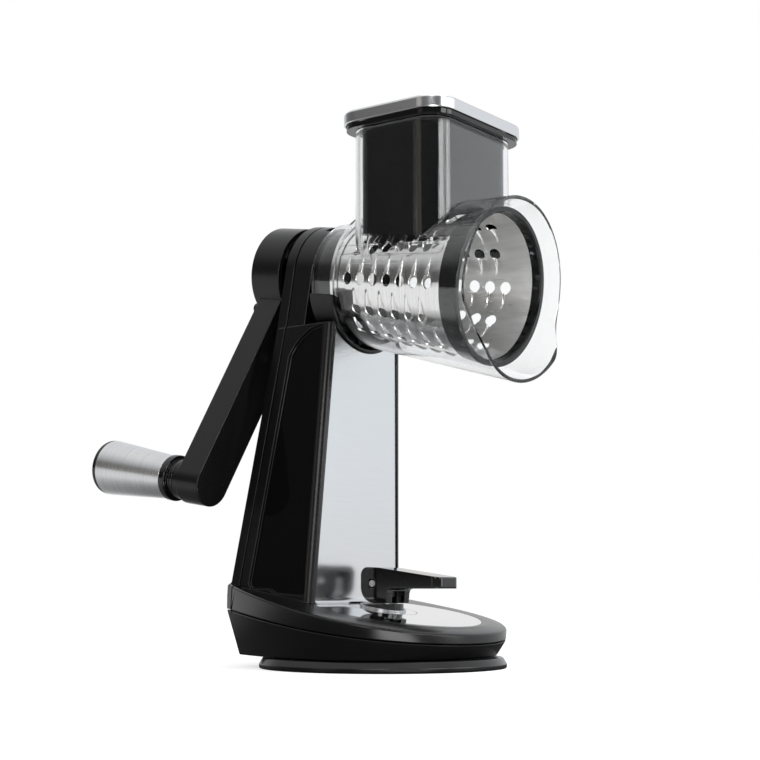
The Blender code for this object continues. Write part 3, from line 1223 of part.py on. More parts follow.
def set_origin():
    """Move the finished grater so that the origin is on the table under the middle of its box."""
    bpy.context.view_layer.update()
    corners = [item.matrix_world @ vertex.co for item in bpy.data.objects if item.type == "MESH"
               for vertex in item.data.vertices]
    middle = Vector([(min(side) + max(side)) / 2 for side in zip(*corners)])
    home = Vector((-middle.x, -middle.y, 0.0))
    for item in bpy.data.objects:
        if item.parent is None:
            if item.type == "MESH":
                item.data.transform(Matrix.Translation(home))
            else:
                item.location += home


def shade():
    """Smooth the round surfaces and keep the edges sharp."""
    for item in bpy.data.objects:
        if item.type == "MESH":
            item.data.shade_smooth()
            item.data.set_sharp_from_angle(angle=math.radians(32))


def main():
    """Build every piece of the grater."""
    clear_scene()
    make_suction_cup()
    make_base_lower_shell()
    make_housing()
    make_facing()
    make_lever_seat()
    make_screws()
    make_stud()
    pin_rod("lever_pin", PIN_RADIUS, LEVER_HALF_WIDTH)
    make_lever()
    make_bushes()
    make_shaft()
    make_crank()
    make_crank_fasteners()
    make_grip()
    make_drum_hub()
    make_drum_ring()
    make_drum_shell()
    make_hopper_tube()
    make_pusher()
    hang_moving_pieces()
    set_origin()
    shade()


main()
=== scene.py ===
"""Looks of a hand cranked drum grater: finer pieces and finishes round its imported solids.

Everything is in metres with +Z up, and the mouth of the drum looks along +X. Each piece is built about
the middle of the suction cup on the table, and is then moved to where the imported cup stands. A
"station" is a place along the drum's axis, zero at its mouth.
"""

import logging
import math
from collections.abc import Iterable, Sequence
from dataclasses import dataclass
from enum import Enum

import bmesh
import bpy
from mathutils import Matrix, Vector, geometry


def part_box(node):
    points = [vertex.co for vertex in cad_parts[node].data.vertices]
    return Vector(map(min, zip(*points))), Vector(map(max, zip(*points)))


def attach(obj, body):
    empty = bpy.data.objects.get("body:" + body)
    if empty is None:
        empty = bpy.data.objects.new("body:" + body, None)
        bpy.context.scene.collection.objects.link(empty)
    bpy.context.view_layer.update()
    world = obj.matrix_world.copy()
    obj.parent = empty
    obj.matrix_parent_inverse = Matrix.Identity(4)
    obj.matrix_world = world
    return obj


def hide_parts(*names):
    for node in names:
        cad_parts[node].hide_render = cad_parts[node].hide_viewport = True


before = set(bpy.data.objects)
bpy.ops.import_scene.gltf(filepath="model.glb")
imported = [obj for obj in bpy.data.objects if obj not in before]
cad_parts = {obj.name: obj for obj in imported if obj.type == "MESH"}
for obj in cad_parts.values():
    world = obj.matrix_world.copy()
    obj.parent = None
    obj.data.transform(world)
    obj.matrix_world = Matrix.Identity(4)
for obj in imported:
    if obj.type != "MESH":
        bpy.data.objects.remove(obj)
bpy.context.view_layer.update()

CUP_LOW, CUP_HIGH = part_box("suction_cup")
HOME = Matrix.Translation(((CUP_LOW.x + CUP_HIGH.x) / 2, (CUP_LOW.y + CUP_HIGH.y) / 2, 0.0))
LOG = logging.getLogger("grater")

GAP = 0.0003
SLIDE_GAP = 0.0008
SMOOTH_ANGLE = math.radians(34)
WELD = 0.000002
UPRIGHT = Matrix.Rotation(-math.pi / 2, 4, "Y")

Colour = tuple[float, float, float]
Point = tuple[float, float, float]
Ring = list[Point]


def grey(value: float) -> Colour:
    """An even grey."""
    return value, value, value


class Slot(Enum):
    """The record's material slots."""

    BLACK_PLASTIC = "black_plastic"
    GLOSS_BLACK = "gloss_black"
    RUBBER = "rubber"
    BRUSHED_STEEL = "brushed_steel"
    DRUM_STEEL = "drum_steel"
    ALUMINIUM = "aluminium"
    CLEAR_PLASTIC = "clear_plastic"
    ZINC = "zinc"
    NYLON = "nylon"


class Body(Enum):
    """The bodies that move as one."""

    STAND = "stand"
    STUD = "stud"
    LEVER = "lever"
    CRANK = "crank"
    GRIP = "grip"
    DRUM = "drum"
    HOPPER = "hopper"
    PUSHER = "pusher"


class Brushing(Enum):
    """Which way a brushed metal's fine lines run."""

    ACROSS = "along Y"
    AHEAD = "along X"
    ROUND_THE_AXIS = "round the drum's axis"


class Wire:
    """One socket of a node tree. Arithmetic on wires adds Math nodes to the tree."""

    def __init__(self, tree: bpy.types.NodeTree, socket: bpy.types.NodeSocket) -> None:
        """Wrap an output socket."""
        self.tree = tree
        self.socket = socket

    def math(self, operation: str, *others: "Wire | float", swapped: bool = False) -> "Wire":
        """Add one Math node.

        Args:
            operation: Blender's name of the operation.
            others: the further values.
            swapped: whether this wire is the second value.

        Returns:
            The result's wire.
        """
        node = self.tree.nodes.new("ShaderNodeMath")
        node.operation = operation
        values = [self, *others]
        if swapped:
            values.reverse()
        for place, value in enumerate(values):
            if isinstance(value, Wire):
                self.tree.links.new(value.socket, node.inputs[place])
            else:
                node.inputs[place].default_value = value
        return Wire(self.tree, node.outputs[0])

    def __add__(self, other: "Wire | float") -> "Wire":
        """Sum."""
        return self.math("ADD", other)

    __radd__ = __add__

    def __sub__(self, other: "Wire | float") -> "Wire":
        """Difference."""
        return self.math("SUBTRACT", other)

    def __rsub__(self, other: float) -> "Wire":
        """Difference from a number."""
        return self.math("SUBTRACT", other, swapped=True)

    def __mul__(self, other: "Wire | float") -> "Wire":
        """Product."""
        return self.math("MULTIPLY", other)

    __rmul__ = __mul__

    def __truediv__(self, other: "Wire | float") -> "Wire":
        """Quotient."""
        return self.math("DIVIDE", other)

    def __lt__(self, other: "Wire | float") -> "Wire":
        """1 where this is less."""
        return self.math("LESS_THAN", other)

    def __gt__(self, other: "Wire | float") -> "Wire":
        """1 where this is greater."""
        return self.math("GREATER_THAN", other)

    def floor(self) -> "Wire":
        """Whole part."""
        return self.math("FLOOR")

    def sin(self) -> "Wire":
        """Sine."""
        return self.math("SINE")

    def cos(self) -> "Wire":
        """Cosine."""
        return self.math("COSINE")

    def held(self) -> "Wire":
        """The value held between 0 and 1."""
        return self.math("MINIMUM", 1.0).math("MAXIMUM", 0.0)


class Graph:
    """A node tree under construction."""

    def __init__(self, tree: bpy.types.NodeTree) -> None:
        """Start from a tree."""
        self.tree = tree

    def add(self, kind: str, settings: dict | None = None, **inputs: object) -> bpy.types.Node:
        """Add any node.

        Args:
            kind: Blender's name of the node's type.
            settings: the node's own properties, set first. A ramp's stops are given as "stops".
            inputs: values or wires by socket name, with spaces as underscores.

        Returns:
            The node.
        """
        node = self.tree.nodes.new(kind)
        for name, value in (settings or {}).items():
            if name == "stops":
                self._set_stops(node.color_ramp, value)
            else:
                setattr(node, name, value)
        for name, value in inputs.items():
            socket = self._socket(node, name)
            if isinstance(value, Wire):
                self.tree.links.new(value.socket, socket)
            elif isinstance(value, bpy.types.NodeSocket):
                self.tree.links.new(value, socket)
            else:
                socket.default_value = value
        return node

    @staticmethod
    def _set_stops(ramp: bpy.types.ColorRamp, stops: Sequence[tuple[float, Colour]]) -> None:
        """Set a ramp's stops, each a place and a colour."""
        while len(ramp.elements) < len(stops):
            ramp.elements.new(0.5)
        for element, (place, colour) in zip(ramp.elements, stops):
            element.position = place
            element.color = (*colour, 1.0)

    @staticmethod
    def _socket(node: bpy.types.Node, name: str) -> bpy.types.NodeSocket:
        """Find an enabled input by its name, or by its place where the name is like "_1"."""
        if name[0] == "_" and name[1:].isdigit():
            return node.inputs[int(name[1:])]
        wanted = name.replace("_", " ")
        return next(socket for socket in node.inputs if socket.name == wanted and socket.enabled)

    def wire(self, node: bpy.types.Node, name: str | int = 0) -> Wire:
        """Wrap one enabled output of a node."""
        if isinstance(name, int):
            return Wire(self.tree, [socket for socket in node.outputs if socket.enabled][name])
        return Wire(self.tree, next(s for s in node.outputs if s.name == name and s.enabled))

    def blend(self, share: Wire | float, first: object, second: object) -> Wire:
        """Blend two colours by a share."""
        node = self.add("ShaderNodeMix", {"data_type": "RGBA"}, Factor=share, A=first, B=second)
        return self.wire(node)

    def xyz(self, vector: Wire) -> tuple[Wire, Wire, Wire]:
        """A vector's three parts."""
        split = self.add("ShaderNodeSeparateXYZ", Vector=vector)
        return self.wire(split, "X"), self.wire(split, "Y"), self.wire(split, "Z")

    def coordinates(self, name: str = "Object") -> Wire:
        """One kind of texture coordinates."""
        return self.wire(self.add("ShaderNodeTexCoord"), name)

    def ramp(self, share: Wire, *stops: tuple[float, Colour]) -> Wire:
        """A colour ramp over a share."""
        return self.wire(self.add("ShaderNodeValToRGB", {"stops": stops}, Fac=share))


@dataclass(frozen=True)
class Finish:
    """What every finish has: its slot and the Principled shader's even values."""

    slot: Slot
    colour: Colour
    roughness: float
    metallic: float = 0.0

    def material(self) -> bpy.types.Material:
        """The finish as a material, made once."""
        name = self.title()
        found = bpy.data.materials.get(name)
        if found:
            return found
        made = bpy.data.materials.new(name)
        made.use_nodes = True
        graph = Graph(made.node_tree)
        shader = made.node_tree.nodes["Principled BSDF"]
        shader.inputs["Base Color"].default_value = (*self.colour, 1.0)
        shader.inputs["Roughness"].default_value = self.roughness
        shader.inputs["Metallic"].default_value = self.metallic
        self.detail(graph, shader)
        return made

    def title(self) -> str:
        """The material's name."""
        return f"{self.slot.value}_{type(self).__name__.lower()}"

    def detail(self, graph: Graph, shader: bpy.types.Node) -> None:
        """Add what varies over the surface."""

    @staticmethod
    def noise(graph: Graph, scale: float, detail: float, stretch: Point = (1, 1, 1)) -> Wire:
        """A noise on Object coordinates, stretched by its scale along each axis."""
        mapped = graph.add("ShaderNodeMapping", Vector=graph.coordinates(), Scale=stretch)
        node = graph.add("ShaderNodeTexNoise", Vector=graph.wire(mapped), Scale=scale, Detail=detail)
        return graph.wire(node, 0)

    @staticmethod
    def link(graph: Graph, wire: Wire, shader: bpy.types.Node, name: str) -> None:
        """Feed one of the shader's sockets."""
        graph.tree.links.new(wire.socket, shader.inputs[name])

    def tone(self, factor: float) -> Colour:
        """The finish's colour made darker or lighter."""
        return tuple(min(value * factor, 1.0) for value in self.colour)

    def vary(self, graph: Graph, shader: bpy.types.Node, share: Wire, *tones: tuple[float, float]) -> None:
        """Let the colour vary by a share, each tone a place on it and a factor."""
        stops = [(place, self.tone(factor)) for place, factor in tones]
        self.link(graph, graph.ramp(share, *stops), shader, "Base Color")

    def bump(self, graph: Graph, shader: bpy.types.Node, height: Wire, strength: float, depth: float) -> None:
        """Raise the surface by a height."""
        node = graph.add("ShaderNodeBump", Strength=strength, Distance=depth, Height=height)
        self.link(graph, graph.wire(node), shader, "Normal")


@dataclass(frozen=True)
class MouldedPlastic(Finish):
    """Black moulding with a fine grain, slightly polished where hands rub it."""

    grain: float = 1500.0
    grain_depth: float = 0.00004
    grain_strength: float = 0.4
    wear: float = 0.08
    sheen: float = 0.35

    def polish(self, graph: Graph) -> Wire | float:
        """1 where the mould was polished."""
        return 0.0

    def detail(self, graph: Graph, shader: bpy.types.Node) -> None:
        """Grain in the surface, and patches where it shines a little more."""
        shader.inputs["Specular IOR Level"].default_value = self.sheen
        rough_part = 1.0 - self.polish(graph)
        grain = self.noise(graph, self.grain, 3.0) * rough_part
        patches = self.noise(graph, 28.0, 4.0)
        tone = graph.ramp(patches, (0.3, self.tone(0.82)), (0.7, self.tone(1.20)))
        colour = graph.blend(rough_part, (*grey(0.002), 1.0), tone)
        self.link(graph, colour, shader, "Base Color")
        rough = (self.roughness - self.wear / 2) * rough_part + patches * self.wear + grain * 0.06
        self.link(graph, rough, shader, "Roughness")
        self.bump(graph, shader, grain, self.grain_strength, self.grain_depth)


@dataclass(frozen=True)
class PolishedPlastic(Finish):
    """Polished moulding with faint flow waves and a haze of hair scratches."""

    waves: float = 38.0
    scratches: float = 900.0

    def detail(self, graph: Graph, shader: bpy.types.Node) -> None:
        """Slow waves in the surface and a little unevenness of the polish."""
        flow = self.noise(graph, self.waves, 2.0)
        haze = self.noise(graph, self.scratches, 5.0, (1.0, 0.12, 0.3))
        dust = self.noise(graph, 420.0, 2.0)
        self.link(graph, self.roughness * 0.75 + haze * (self.roughness * 0.5), shader, "Roughness")
        self.vary(graph, shader, dust, (0.35, 0.8), (0.75, 1.3))
        self.bump(graph, shader, flow, 0.05, 0.0002)


@dataclass(frozen=True)
class Rubber(Finish):
    """Soft matt rubber with a dusty bloom."""

    def detail(self, graph: Graph, shader: bpy.types.Node) -> None:
        """Bloom in the colour and a fine powdery grain."""
        bloom = self.noise(graph, 60.0, 6.0)
        grain = self.noise(graph, 2600.0, 2.0)
        self.vary(graph, shader, bloom, (0.35, 1.0), (0.8, 1.8))
        self.link(graph, self.roughness - 0.08 + bloom * 0.16, shader, "Roughness")
        self.bump(graph, shader, grain, 0.25, 0.00002)


@dataclass(frozen=True)
class BrushedMetal(Finish):
    """Metal with fine lines all one way."""

    brushing: Brushing = Brushing.ACROSS
    lines: float = 1900.0
    length: float = 0.02
    relief: float = 0.30
    cloud: float = 0.06
    contrast: float = 0.12
    mirror_below: float = 0.0
    mirror_from: float = -0.0135
    mirror_edge: float = 0.002
    mirror_polish: float = 0.75

    def title(self) -> str:
        """The material's name, one for each way of brushing."""
        return f"{super().title()}_{self.brushing.name.lower()}"

    def _across(self, graph: Graph) -> Wire:
        """Fine noise that is long one way and short the other."""
        place, slow = graph.coordinates(), self.length * self.lines
        if self.brushing is Brushing.ROUND_THE_AXIS:
            tilted = graph.add("ShaderNodeMapping", Vector=place, Rotation=(0.0, -AXIS.tilt, 0.0))
            spot = graph.wire(graph.add("ShaderNodeVectorMath", {"operation": "MULTIPLY"},
                                        _0=graph.wire(tilted), _1=(self.lines, slow, slow)))
        else:
            scale = {Brushing.ACROSS: (self.lines, slow, self.lines),
                     Brushing.AHEAD: (slow, self.lines, self.lines)}[self.brushing]
            spot = graph.wire(graph.add("ShaderNodeMapping", Vector=place, Scale=scale))
        node = graph.add("ShaderNodeTexNoise", Vector=spot, Scale=1.0, Detail=4.0, Roughness=0.7)
        return graph.wire(node, 0)

    def detail(self, graph: Graph, shader: bpy.types.Node) -> None:
        """The brushed lines in colour, polish and relief, over slow clouds."""
        streak = self._across(graph)
        cloud = self.noise(graph, 22.0, 3.0)
        self.vary(graph, shader, streak, (0.3, 1 - self.contrast), (0.7, 1 + self.contrast))
        rough = self.roughness + (streak - 0.5) * self.contrast + (cloud - 0.5) * self.cloud
        if self.mirror_below:
            x, _, z = graph.xyz(graph.coordinates())
            low = (self.mirror_below - z) / self.mirror_edge
            ahead = (x - HOME.translation.x - self.mirror_from) / self.mirror_edge
            rough = rough * (1.0 - self.mirror_polish * low.held() * ahead.held())
        self.link(graph, rough, shader, "Roughness")
        self.bump(graph, shader, streak, self.relief, 0.00002)


@dataclass(frozen=True)
class PlatedMetal(Finish):
    """Plain plated steel with a fine mottle."""

    def detail(self, graph: Graph, shader: bpy.types.Node) -> None:
        """Mottled plating."""
        mottle = self.noise(graph, 700.0, 4.0)
        self.vary(graph, shader, mottle, (0.3, 0.8), (0.7, 1.0))
        self.link(graph, self.roughness - 0.08 + mottle * 0.16, shader, "Roughness")
        self.bump(graph, shader, mottle, 0.1, 0.00002)


@dataclass(frozen=True)
class ClearPlastic(Finish):
    """Clear glossy moulding, faintly wavy as moulded walls are."""

    refraction: float = 1.42

    def detail(self, graph: Graph, shader: bpy.types.Node) -> None:
        """Make it clear, with slow waves and faint smears."""
        shader.inputs["Transmission Weight"].default_value = 1.0
        shader.inputs["IOR"].default_value = self.refraction
        smear = self.noise(graph, 45.0, 4.0)
        wave = self.noise(graph, 30.0, 1.0)
        self.link(graph, smear * self.roughness * 2, shader, "Roughness")
        self.bump(graph, shader, wave, 0.06, 0.0004)


@dataclass(frozen=True)
class DrumAxis:
    """The line that the drum and the crank turn about, tipped down towards the mouth."""

    tilt: float = math.radians(9.15)
    mouth_x: float = 0.0773
    mouth_z: float = 0.1981

    @property
    def frame(self) -> Matrix:
        """From stations along local X to the world."""
        return Matrix.Translation((self.mouth_x, 0.0, self.mouth_z)) @ Matrix.Rotation(self.tilt, 4, "Y")

    def height(self, x: float) -> float:
        """Height of the axis over a world x."""
        return self.mouth_z - (x - self.mouth_x) * math.tan(self.tilt)


AXIS = DrumAxis()

BLACK = MouldedPlastic(Slot.BLACK_PLASTIC, (0.0045, 0.0045, 0.0047), 0.22)
GLOSS = PolishedPlastic(Slot.GLOSS_BLACK, (0.0030, 0.0030, 0.0032), 0.07)
CUP_RUBBER = Rubber(Slot.RUBBER, (0.0035, 0.0035, 0.0038), 0.24)
FACING_STEEL = BrushedMetal(Slot.BRUSHED_STEEL, (0.71, 0.72, 0.735), 0.20, 1.0, Brushing.ACROSS,
                            lines=4200.0, length=0.010, relief=0.05, cloud=0.02, contrast=0.03,
                            mirror_below=0.0355)
DRUM_STEEL = BrushedMetal(Slot.DRUM_STEEL, (0.90, 0.89, 0.875), 0.15, 1.0, Brushing.ROUND_THE_AXIS,
                          relief=0.08, contrast=0.08)
# Inside of the drum: a brighter copy of the drum's steel, painted light for the light inside the drum. Its
# coarse colour streaks along the axis are painted reflections of the perforations.
INNER_STEEL_PAINTED_LIGHT = BrushedMetal(Slot.DRUM_STEEL, (0.99, 0.985, 0.97), 0.30, 1.0, Brushing.AHEAD,
                           lines=300.0, length=0.06, relief=0.10, contrast=0.16)
ALUMINIUM = BrushedMetal(Slot.ALUMINIUM, (0.68, 0.69, 0.70), 0.26, 1.0, Brushing.ROUND_THE_AXIS, relief=0.35)
CLEAR = ClearPlastic(Slot.CLEAR_PLASTIC, (0.97, 0.98, 0.985), 0.02)
ZINC = PlatedMetal(Slot.ZINC, (0.52, 0.52, 0.53), 0.30, 1.0)
NYLON = Rubber(Slot.NYLON, (0.42, 0.41, 0.38), 0.50)


def placed(name: str, data: bpy.types.ID) -> bpy.types.Object:
    """Make an object of some data and link it to the scene."""
    item = bpy.data.objects.new(name, data)
    bpy.context.scene.collection.objects.link(item)
    return item


def merged(mesh: bpy.types.Mesh, weld: float, flat: float) -> None:
    """Merge corners closer than a weld, and faces that lie within a few degrees of one plane."""
    work = bmesh.new()
    work.from_mesh(mesh)
    bmesh.ops.remove_doubles(work, verts=work.verts, dist=weld)
    bmesh.ops.dissolve_limit(work, angle_limit=math.radians(flat), verts=work.verts, edges=work.edges)
    work.to_mesh(mesh)
    work.free()


def solid(name: str, points: Sequence[Point], faces: Sequence[Sequence[int]], place: Matrix | None = None,
          ) -> bpy.types.Object:
    """Make an object from points and faces, facing out.

    Args:
        name: the object's name.
        points: its corners.
        faces: corner numbers of each face.
        place: a matrix that puts the corners in the world.

    Returns:
        The object, linked to the scene.
    """
    mesh = bpy.data.meshes.new(name)
    mesh.from_pydata([tuple(point) for point in points], [], faces)
    work = bmesh.new()
    work.from_mesh(mesh)
    bmesh.ops.remove_doubles(work, verts=work.verts, dist=WELD)
    bmesh.ops.recalc_face_normals(work, faces=work.faces)
    work.to_mesh(mesh)
    work.free()
    if place is not None:
        mesh.transform(place)
    return placed(name, mesh)


def rounded(corners: Sequence[tuple[float, float, float]], steps: int = 5) -> list[tuple[float, float]]:
    """Round the corners of a closed flat outline.

    Args:
        corners: each corner's two coordinates and its radius.
        steps: how many chords an arc has.

    Returns:
        The outline's points.
    """
    outline = []
    for index, (a, b, radius) in enumerate(corners):
        corner = Vector((a, b))
        before = Vector(corners[index - 1][:2]) - corner
        after = Vector(corners[(index + 1) % len(corners)][:2]) - corner
        if radius <= 0 or before.length < 1e-7 or after.length < 1e-7:
            outline.append((a, b))
            continue
        before_way, after_way = before.normalized(), after.normalized()
        half = math.acos(max(-1.0, min(1.0, before_way.dot(after_way)))) / 2
        if half > math.radians(89):
            outline.append((a, b))
            continue
        reach = min(radius / math.tan(half), 0.48 * before.length, 0.48 * after.length)
        radius = reach * math.tan(half)
        centre = corner + (before_way + after_way).normalized() * (radius / math.sin(half))
        first, last = corner + before_way * reach - centre, corner + after_way * reach - centre
        turn = math.atan2(first.x * last.y - first.y * last.x, first.dot(last))
        for step in range(steps + 1):
            spot = centre + Matrix.Rotation(turn * step / steps, 2) @ first
            outline.append((spot.x, spot.y))
    return outline


def turned(name: str, profile: Sequence[tuple[float, float]], place: Matrix | None = None, sides: int = 128,
           ) -> bpy.types.Object:
    """Turn a closed profile of (station, radius) points about the local X axis.

    Args:
        name: the object's name.
        profile: the profile's points. Those on the axis become one corner.
        place: a matrix that puts the piece in the world.
        sides: corners of each ring.

    Returns:
        The object.
    """
    points: Ring = []
    rings = []
    for station, radius in profile:
        count = 1 if radius < 1e-6 else sides
        rings.append(range(len(points), len(points) + count))
        for step in range(count):
            angle = 2 * math.pi * step / sides
            points.append((station, -radius * math.sin(angle), radius * math.cos(angle)))
    faces = []
    for index, ring in enumerate(rings):
        after = rings[(index + 1) % len(rings)]
        for step in range(sides):
            follow = (step + 1) % sides
            corners = dict.fromkeys((ring[step % len(ring)], ring[follow % len(ring)],
                                     after[follow % len(after)], after[step % len(after)]))
            if len(corners) > 2:
                faces.append(tuple(corners))
    return solid(name, points, faces, place)


def loft(name: str, sections: Sequence[Sequence[Point]], place: Matrix | None = None, looped: bool = False,
         ) -> bpy.types.Object:
    """Skin a row of sections with equal counts, and close both ends or join them."""
    count = len(sections[0])
    points = [point for section in sections for point in section]
    faces: list[tuple[int, ...]] = []
    for level in range(len(sections) - (not looped)):
        low, high = level * count, (level + 1) % len(sections) * count
        faces += [(low + step, low + (step + 1) % count, high + (step + 1) % count, high + step)
                  for step in range(count)]
    if not looped:
        faces += [tuple(range(count)), tuple(range(len(points) - count, len(points)))]
    return solid(name, points, faces, place)


def block(name: str, low: Point, high: Point, place: Matrix | None = None) -> bpy.types.Object:
    """A plain box between two corners, used only to cut with."""
    (x0, y0, z0), (x1, y1, z1) = low, high
    base = [(x0, y0), (x1, y0), (x1, y1), (x0, y1)]
    return loft(name, [[(x, y, z) for x, y in base] for z in (z0, z1)], place)


def rod(name: str, start: float, end: float, radius: float, place: Matrix | None = None, sides: int = 64,
        ) -> bpy.types.Object:
    """A plain round bar along the local X axis, used to cut with or to join."""
    return turned(name, [(start, 0), (start, radius), (end, radius), (end, 0)], place, sides)


def evaluated(item: bpy.types.Object) -> None:
    """Apply the object's modifiers to its mesh."""
    graph = bpy.context.evaluated_depsgraph_get()
    mesh = bpy.data.meshes.new_from_object(item.evaluated_get(graph), depsgraph=graph)
    item.modifiers.clear()
    item.data = mesh


def combine(item: bpy.types.Object, tools: Iterable[bpy.types.Object], operation: str) -> bpy.types.Object:
    """Apply a Boolean with each tool, which is used up."""
    for tool in tools:
        modifier = item.modifiers.new("boolean", "BOOLEAN")
        modifier.operation = operation
        modifier.solver = "MANIFOLD"
        modifier.object = tool
        evaluated(item)
        bpy.data.objects.remove(tool, do_unlink=True)
    return item


def cut(item: bpy.types.Object, *tools: bpy.types.Object) -> bpy.types.Object:
    """Take each tool's shape out of the item."""
    return combine(item, tools, "DIFFERENCE")


def join(item: bpy.types.Object, *tools: bpy.types.Object) -> bpy.types.Object:
    """Fuse each tool's shape with the item."""
    return combine(item, tools, "UNION")


def twin(item: bpy.types.Object, name: str) -> bpy.types.Object:
    """Copy an object with a mesh of its own."""
    copy = item.copy()
    copy.data = item.data.copy()
    copy.name = name
    bpy.context.scene.collection.objects.link(copy)
    return copy


def softened(item: bpy.types.Object, grain: float, passes: int, keep: float) -> bpy.types.Object:
    """Round every edge as a mould does.

    Args:
        item: a closed solid.
        grain: size of the even mesh that replaces its own, about the edges' radius.
        passes: how often the mesh is evened out.
        keep: the share of faces that stays once flat areas are thinned.

    Returns:
        The item.
    """
    remesh = item.modifiers.new("even", "REMESH")
    remesh.mode, remesh.voxel_size, remesh.adaptivity = "VOXEL", grain, 0.0
    smooth = item.modifiers.new("round", "SMOOTH")
    smooth.factor, smooth.iterations = 0.5, passes
    thin = item.modifiers.new("thin", "DECIMATE")
    thin.decimate_type, thin.ratio = "COLLAPSE", keep
    evaluated(item)
    return item


def bevelled(item: bpy.types.Object, width: float, segments: int = 2, held: bool = True) -> bpy.types.Object:
    """Bevel every sharp edge, held back where edges are short or not."""
    bevel = item.modifiers.new("bevel", "BEVEL")
    bevel.use_clamp_overlap = held
    bevel.width, bevel.segments, bevel.limit_method = width, segments, "ANGLE"
    bevel.angle_limit = math.radians(35)
    evaluated(item)
    return item


def rounded_rectangle(half_x: float, half_y: float, corner: float, height: float, centre_x: float,
                      steps: int = 12) -> Ring:
    """Corners of a rounded rectangle at one height, counter-clockwise."""
    points: Ring = []
    for quarter, (sign_x, sign_y) in enumerate(((1, 1), (-1, 1), (-1, -1), (1, -1))):
        for step in range(steps + 1):
            angle = (quarter + step / steps) * math.pi / 2
            points.append((centre_x + sign_x * (half_x - corner) + corner * math.cos(angle),
                           sign_y * (half_y - corner) + corner * math.sin(angle), height))
    return points


def dressed(item: bpy.types.Object, finish: Finish, body: Body, *nodes: str, angle: float = SMOOTH_ANGLE,
            home: Matrix = HOME) -> bpy.types.Object:
    """Finish a piece: shade it, give it its material, and let it ride in its nodes' place.

    Args:
        item: the finished mesh.
        finish: what it is made of.
        body: the body that it moves with.
        nodes: the CAD nodes that it stands for.
        angle: edges sharper than this stay sharp.
        home: moves the mesh from the cup's middle to its place.

    Returns:
        The item.
    """
    mesh = item.data
    mesh.transform(home)
    if len(mesh.materials) < 2:
        mesh.materials.clear()
        mesh.materials.append(finish.material())
        for polygon in mesh.polygons:
            polygon.material_index = 0
    mesh.shade_smooth()
    mesh.set_sharp_from_angle(angle=angle)
    weigh = item.modifiers.new("weigh", "WEIGHTED_NORMAL")
    weigh.mode, weigh.weight, weigh.keep_sharp = "FACE_AREA", 60, True
    evaluated(item)
    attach(item, body.value)
    if nodes:
        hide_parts(*nodes)
    LOG.info("%s: %d faces on %s", item.name, len(item.data.polygons), body.value)
    return item


def edged(item: bpy.types.Object, width: float, segments: int = 3) -> bpy.types.Object:
    """Merge what lies in one plane, then bevel every sharp edge."""
    merged(item.data, 0.00002, 0.3)
    return bevelled(item, width, segments, False)


def refined(node: str, finish: Finish, body: Body, bevel: float = 0.00015) -> bpy.types.Object:
    """A bevelled, smooth copy of a small CAD node in its place."""
    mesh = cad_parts[node].data.copy()
    merged(mesh, WELD, 1.0)
    item = bevelled(placed(f"{node}_fine", mesh), bevel)
    return dressed(item, finish, body, node, home=Matrix.Identity(4))


@dataclass(frozen=True)
class Level:
    """One level of the base: its reach forwards and sideways, its height over the cup and its slope."""

    front: float
    half_width: float
    height: float
    slope: float


